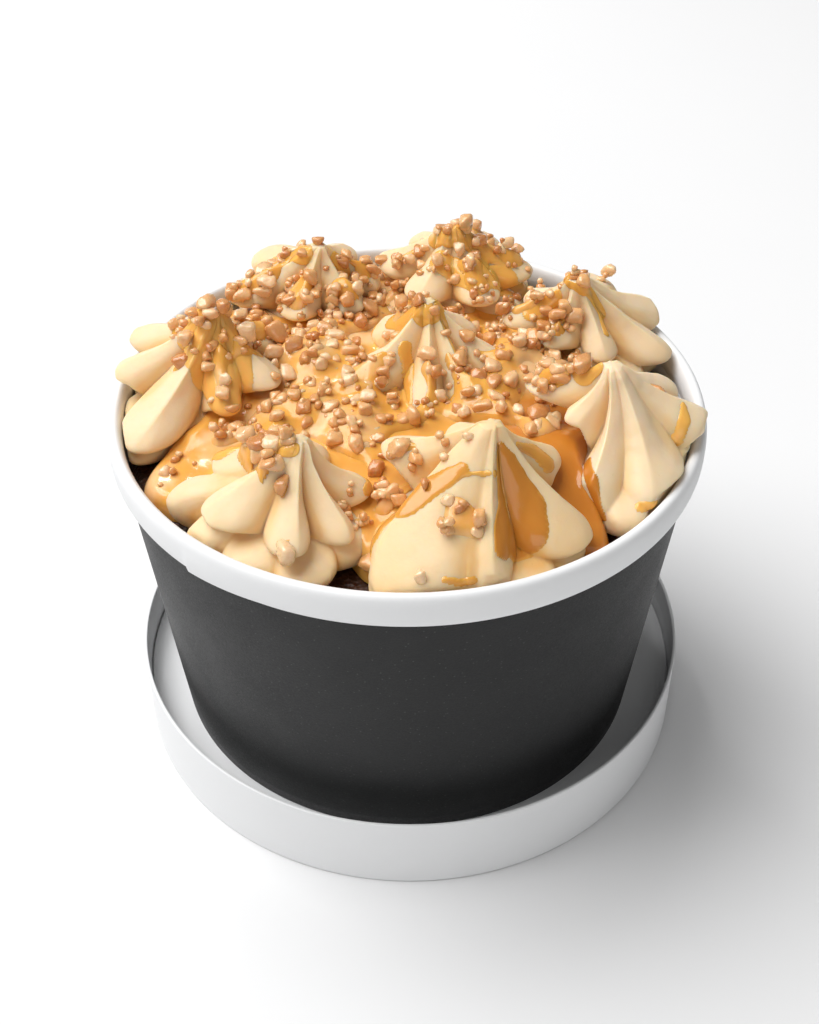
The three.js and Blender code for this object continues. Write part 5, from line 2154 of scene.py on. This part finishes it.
    def slope(self, bare: Array) -> Array:
        """How steep the ground is on a grid, at a cell or beside it.

        Args:
            bare: The ground's heights.

        Returns:
            The steepest rise in height to a neighbour, as a share of the way there.
        """
        ways = ((0, 1), (0, -1), (1, 1), (1, -1))
        slope = np.zeros(bare.shape)
        for axis, way in ways:
            rise = np.abs(bare - np.roll(bare, way, axis=axis))
            slope = np.maximum(slope, rise / self.syrup_cell)
        for axis, way in ways:
            slope = np.maximum(slope, np.roll(slope, way, axis=axis))
        return slope

    def syrup(self, trees: Sequence[BVHTree]) -> Skin:
        """The wet syrup that joins the crumbs of a heap and leaves their tops out.

        Args:
            trees: What the crumbs lie on.

        Returns:
            The closed skin.
        """
        line = np.arange(-self.farthest, self.farthest + self.syrup_cell, self.syrup_cell)
        x, y = np.meshgrid(line, line)
        pile = self.pile(x, y, line)
        thick = self.blurred((pile > 0.0).astype(float), self.blur)
        bare = np.full(x.shape, -1.0)
        for i, j in np.argwhere(thick > self.syrup_near):
            found = self.ground(trees, x[i, j], y[i, j])
            bare[i, j] = -1.0 if found is None else found[0].z
        known = bare > 0.0
        standing = np.where(known & (pile > 0.0), np.maximum(pile - bare, 0.0), 0.0)
        gentle = self.slope(bare) < self.syrup_steepest
        share = smooth_step(self.syrup_from, self.syrup_full, thick)
        share = share * self.blurred(gentle.astype(float), self.blur // 2) ** 2
        rise = self.blurred(standing, self.blur) * self.syrup_level * share
        rise = rise - self.syrup_sink * (1.0 - share)
        z = np.where(known, bare + rise, 0.0)
        shown = known & (share > self.syrup_seen) & gentle
        cells = shown[:-1, :-1] & shown[1:, :-1] & shown[:-1, 1:] & shown[1:, 1:]
        top = np.stack([x, y, z], axis=-1).reshape(-1, 3)
        low = np.stack([x, y, np.minimum(z, bare) - self.syrup_root], axis=-1).reshape(-1, 3)
        milk = np.clip(0.5 + 0.5 * lumps(top, self.syrup_milk, 31.0), 0.0, 1.0)
        return Caramel.shell(top, low, cells, False, np.full(len(top), self.syrup_tone), milk)

    def build(self, finish: bpy.types.Material, wet: bpy.types.Material,
              grounds: Sequence[Skin]) -> None:
        """Makes the crumbs' pieces.

        Args:
            finish: The brittle.
            wet: The caramel.
            grounds: What the crumbs lie on.
        """
        rng = np.random.RandomState(self.seed)
        trees = [ground.tree() for ground in grounds]
        self.coarse(trees)
        self.fine(trees, rng)
        self.syrup(trees).piece("caramel_syrup", CUP_PLACE, [wet], Slot.CARAMEL)
        balls = {True: self.ball(2), False: self.ball(1)}
        sorts: dict[bool, list[Skin]] = {True: [], False: []}
        for x, y, z, radius in self.places:
            big = radius >= self.large
            points, faces = balls[big]
            chip = self.chip(rng, radius, points)
            tone = np.full(len(points), rng.beta(*self.tones))
            sorts[big].append(Skin(chip + np.array([x, y, z]), list(faces), {"tone": tone}))
        for big, name in ((True, "brittle_chips"), (False, "brittle_crumbs")):
            log.info("%s: %d pieces", name, len(sorts[big]))
            Skin.joined(sorts[big]).piece(name, CUP_PLACE, [finish], Slot.BRITTLE)


# ------------------------------------------------------------------ studio


@dataclass
class Studio:
    """A white table, soft light from the upper left, and the camera."""

    camera_place: tuple[float, float, float] = (-0.000073, -0.196754, 0.206649)
    pitch: float = 0.701
    focal_length: float = 51.21
    table_half: float = 3.0
    sky_strength: float = 0.18
    aim: tuple[float, float, float] = (0.0, 0.0, 0.04)

    def floor(self) -> None:
        """The table."""
        half = self.table_half
        mesh = bpy.data.meshes.new("table")
        mesh.from_pydata([(-half, -half, 0), (half, -half, 0), (half, half, 0), (-half, half, 0)],
                         [], [(0, 1, 2, 3)])
        mesh.materials.append(FloorFinish().material())
        table = bpy.data.objects.new("table", mesh)
        bpy.context.scene.collection.objects.link(table)

    def light(self, name: str, place: tuple[float, float, float], size: Point,
              watts: float) -> None:
        """A soft rectangular white light that points at the dessert.

        Args:
            name: Its name.
            place: Where it hangs, in metres.
            size: Its width and height in metres.
            watts: Its power.
        """
        lamp = bpy.data.lights.new(name, "AREA")
        lamp.shape = "RECTANGLE"
        lamp.size, lamp.size_y = size
        lamp.energy = watts
        made = bpy.data.objects.new(name, lamp)
        made.location = place
        made.rotation_mode = "QUATERNION"
        made.rotation_quaternion = (Vector(self.aim) - Vector(place)).to_track_quat("-Z", "Y")
        bpy.context.scene.collection.objects.link(made)

    def sky(self) -> None:
        """Even white light from all round."""
        world = bpy.data.worlds.new("studio")
        world.use_nodes = True
        back = world.node_tree.nodes["Background"]
        back.inputs["Color"].default_value = (1.0, 1.0, 1.0, 1.0)
        back.inputs["Strength"].default_value = self.sky_strength
        bpy.context.scene.world = world

    def camera(self) -> None:
        """The camera, where the photograph was taken from."""
        lens = bpy.data.cameras.new("camera")
        lens.lens = self.focal_length
        lens.sensor_width = 36.0
        made = bpy.data.objects.new("camera", lens)
        made.location = self.camera_place
        made.rotation_euler = (math.pi / 2 - self.pitch, 0.0, 0.0)
        bpy.context.scene.collection.objects.link(made)
        bpy.context.scene.camera = made

    def build(self) -> None:
        """Sets up the table, the light and the camera."""
        self.floor()
        self.sky()
        self.light("key", (-0.74, 0.20, 1.44), (1.45, 1.45), 37.0)
        self.light("fill", (0.1, -1.2, 0.45), (1.2, 0.6), 3.2)
        self.light("glint", (-0.20, 0.50, 0.52), (0.07, 0.07), 0.35)
        view = bpy.context.scene.view_settings
        view.view_transform = "Standard"
        view.look = "None"
        self.camera()


def main() -> None:
    """Builds the dessert, its cup and lid, and the studio."""
    logging.basicConfig(level=logging.INFO, format="%(name)s %(message)s")
    white = WhiteBoardFinish().material()
    PaperLid().build(white)
    cup = PaperCup()
    cup.build(DarkBoardFinish().material(), white)
    Sponge(cup).build(SpongeFinish().material())
    cream = PipedCream(cup)
    skins = cream.build(CreamFinish().material())
    wet = CaramelFinish().material()
    sauce = Caramel(cup, cream).build(wet, skins)
    Brittle().build(BrittleFinish().material(), wet, [*skins.values(), *sauce])
    Studio().build()


if __name__ == "__main__":
    main()
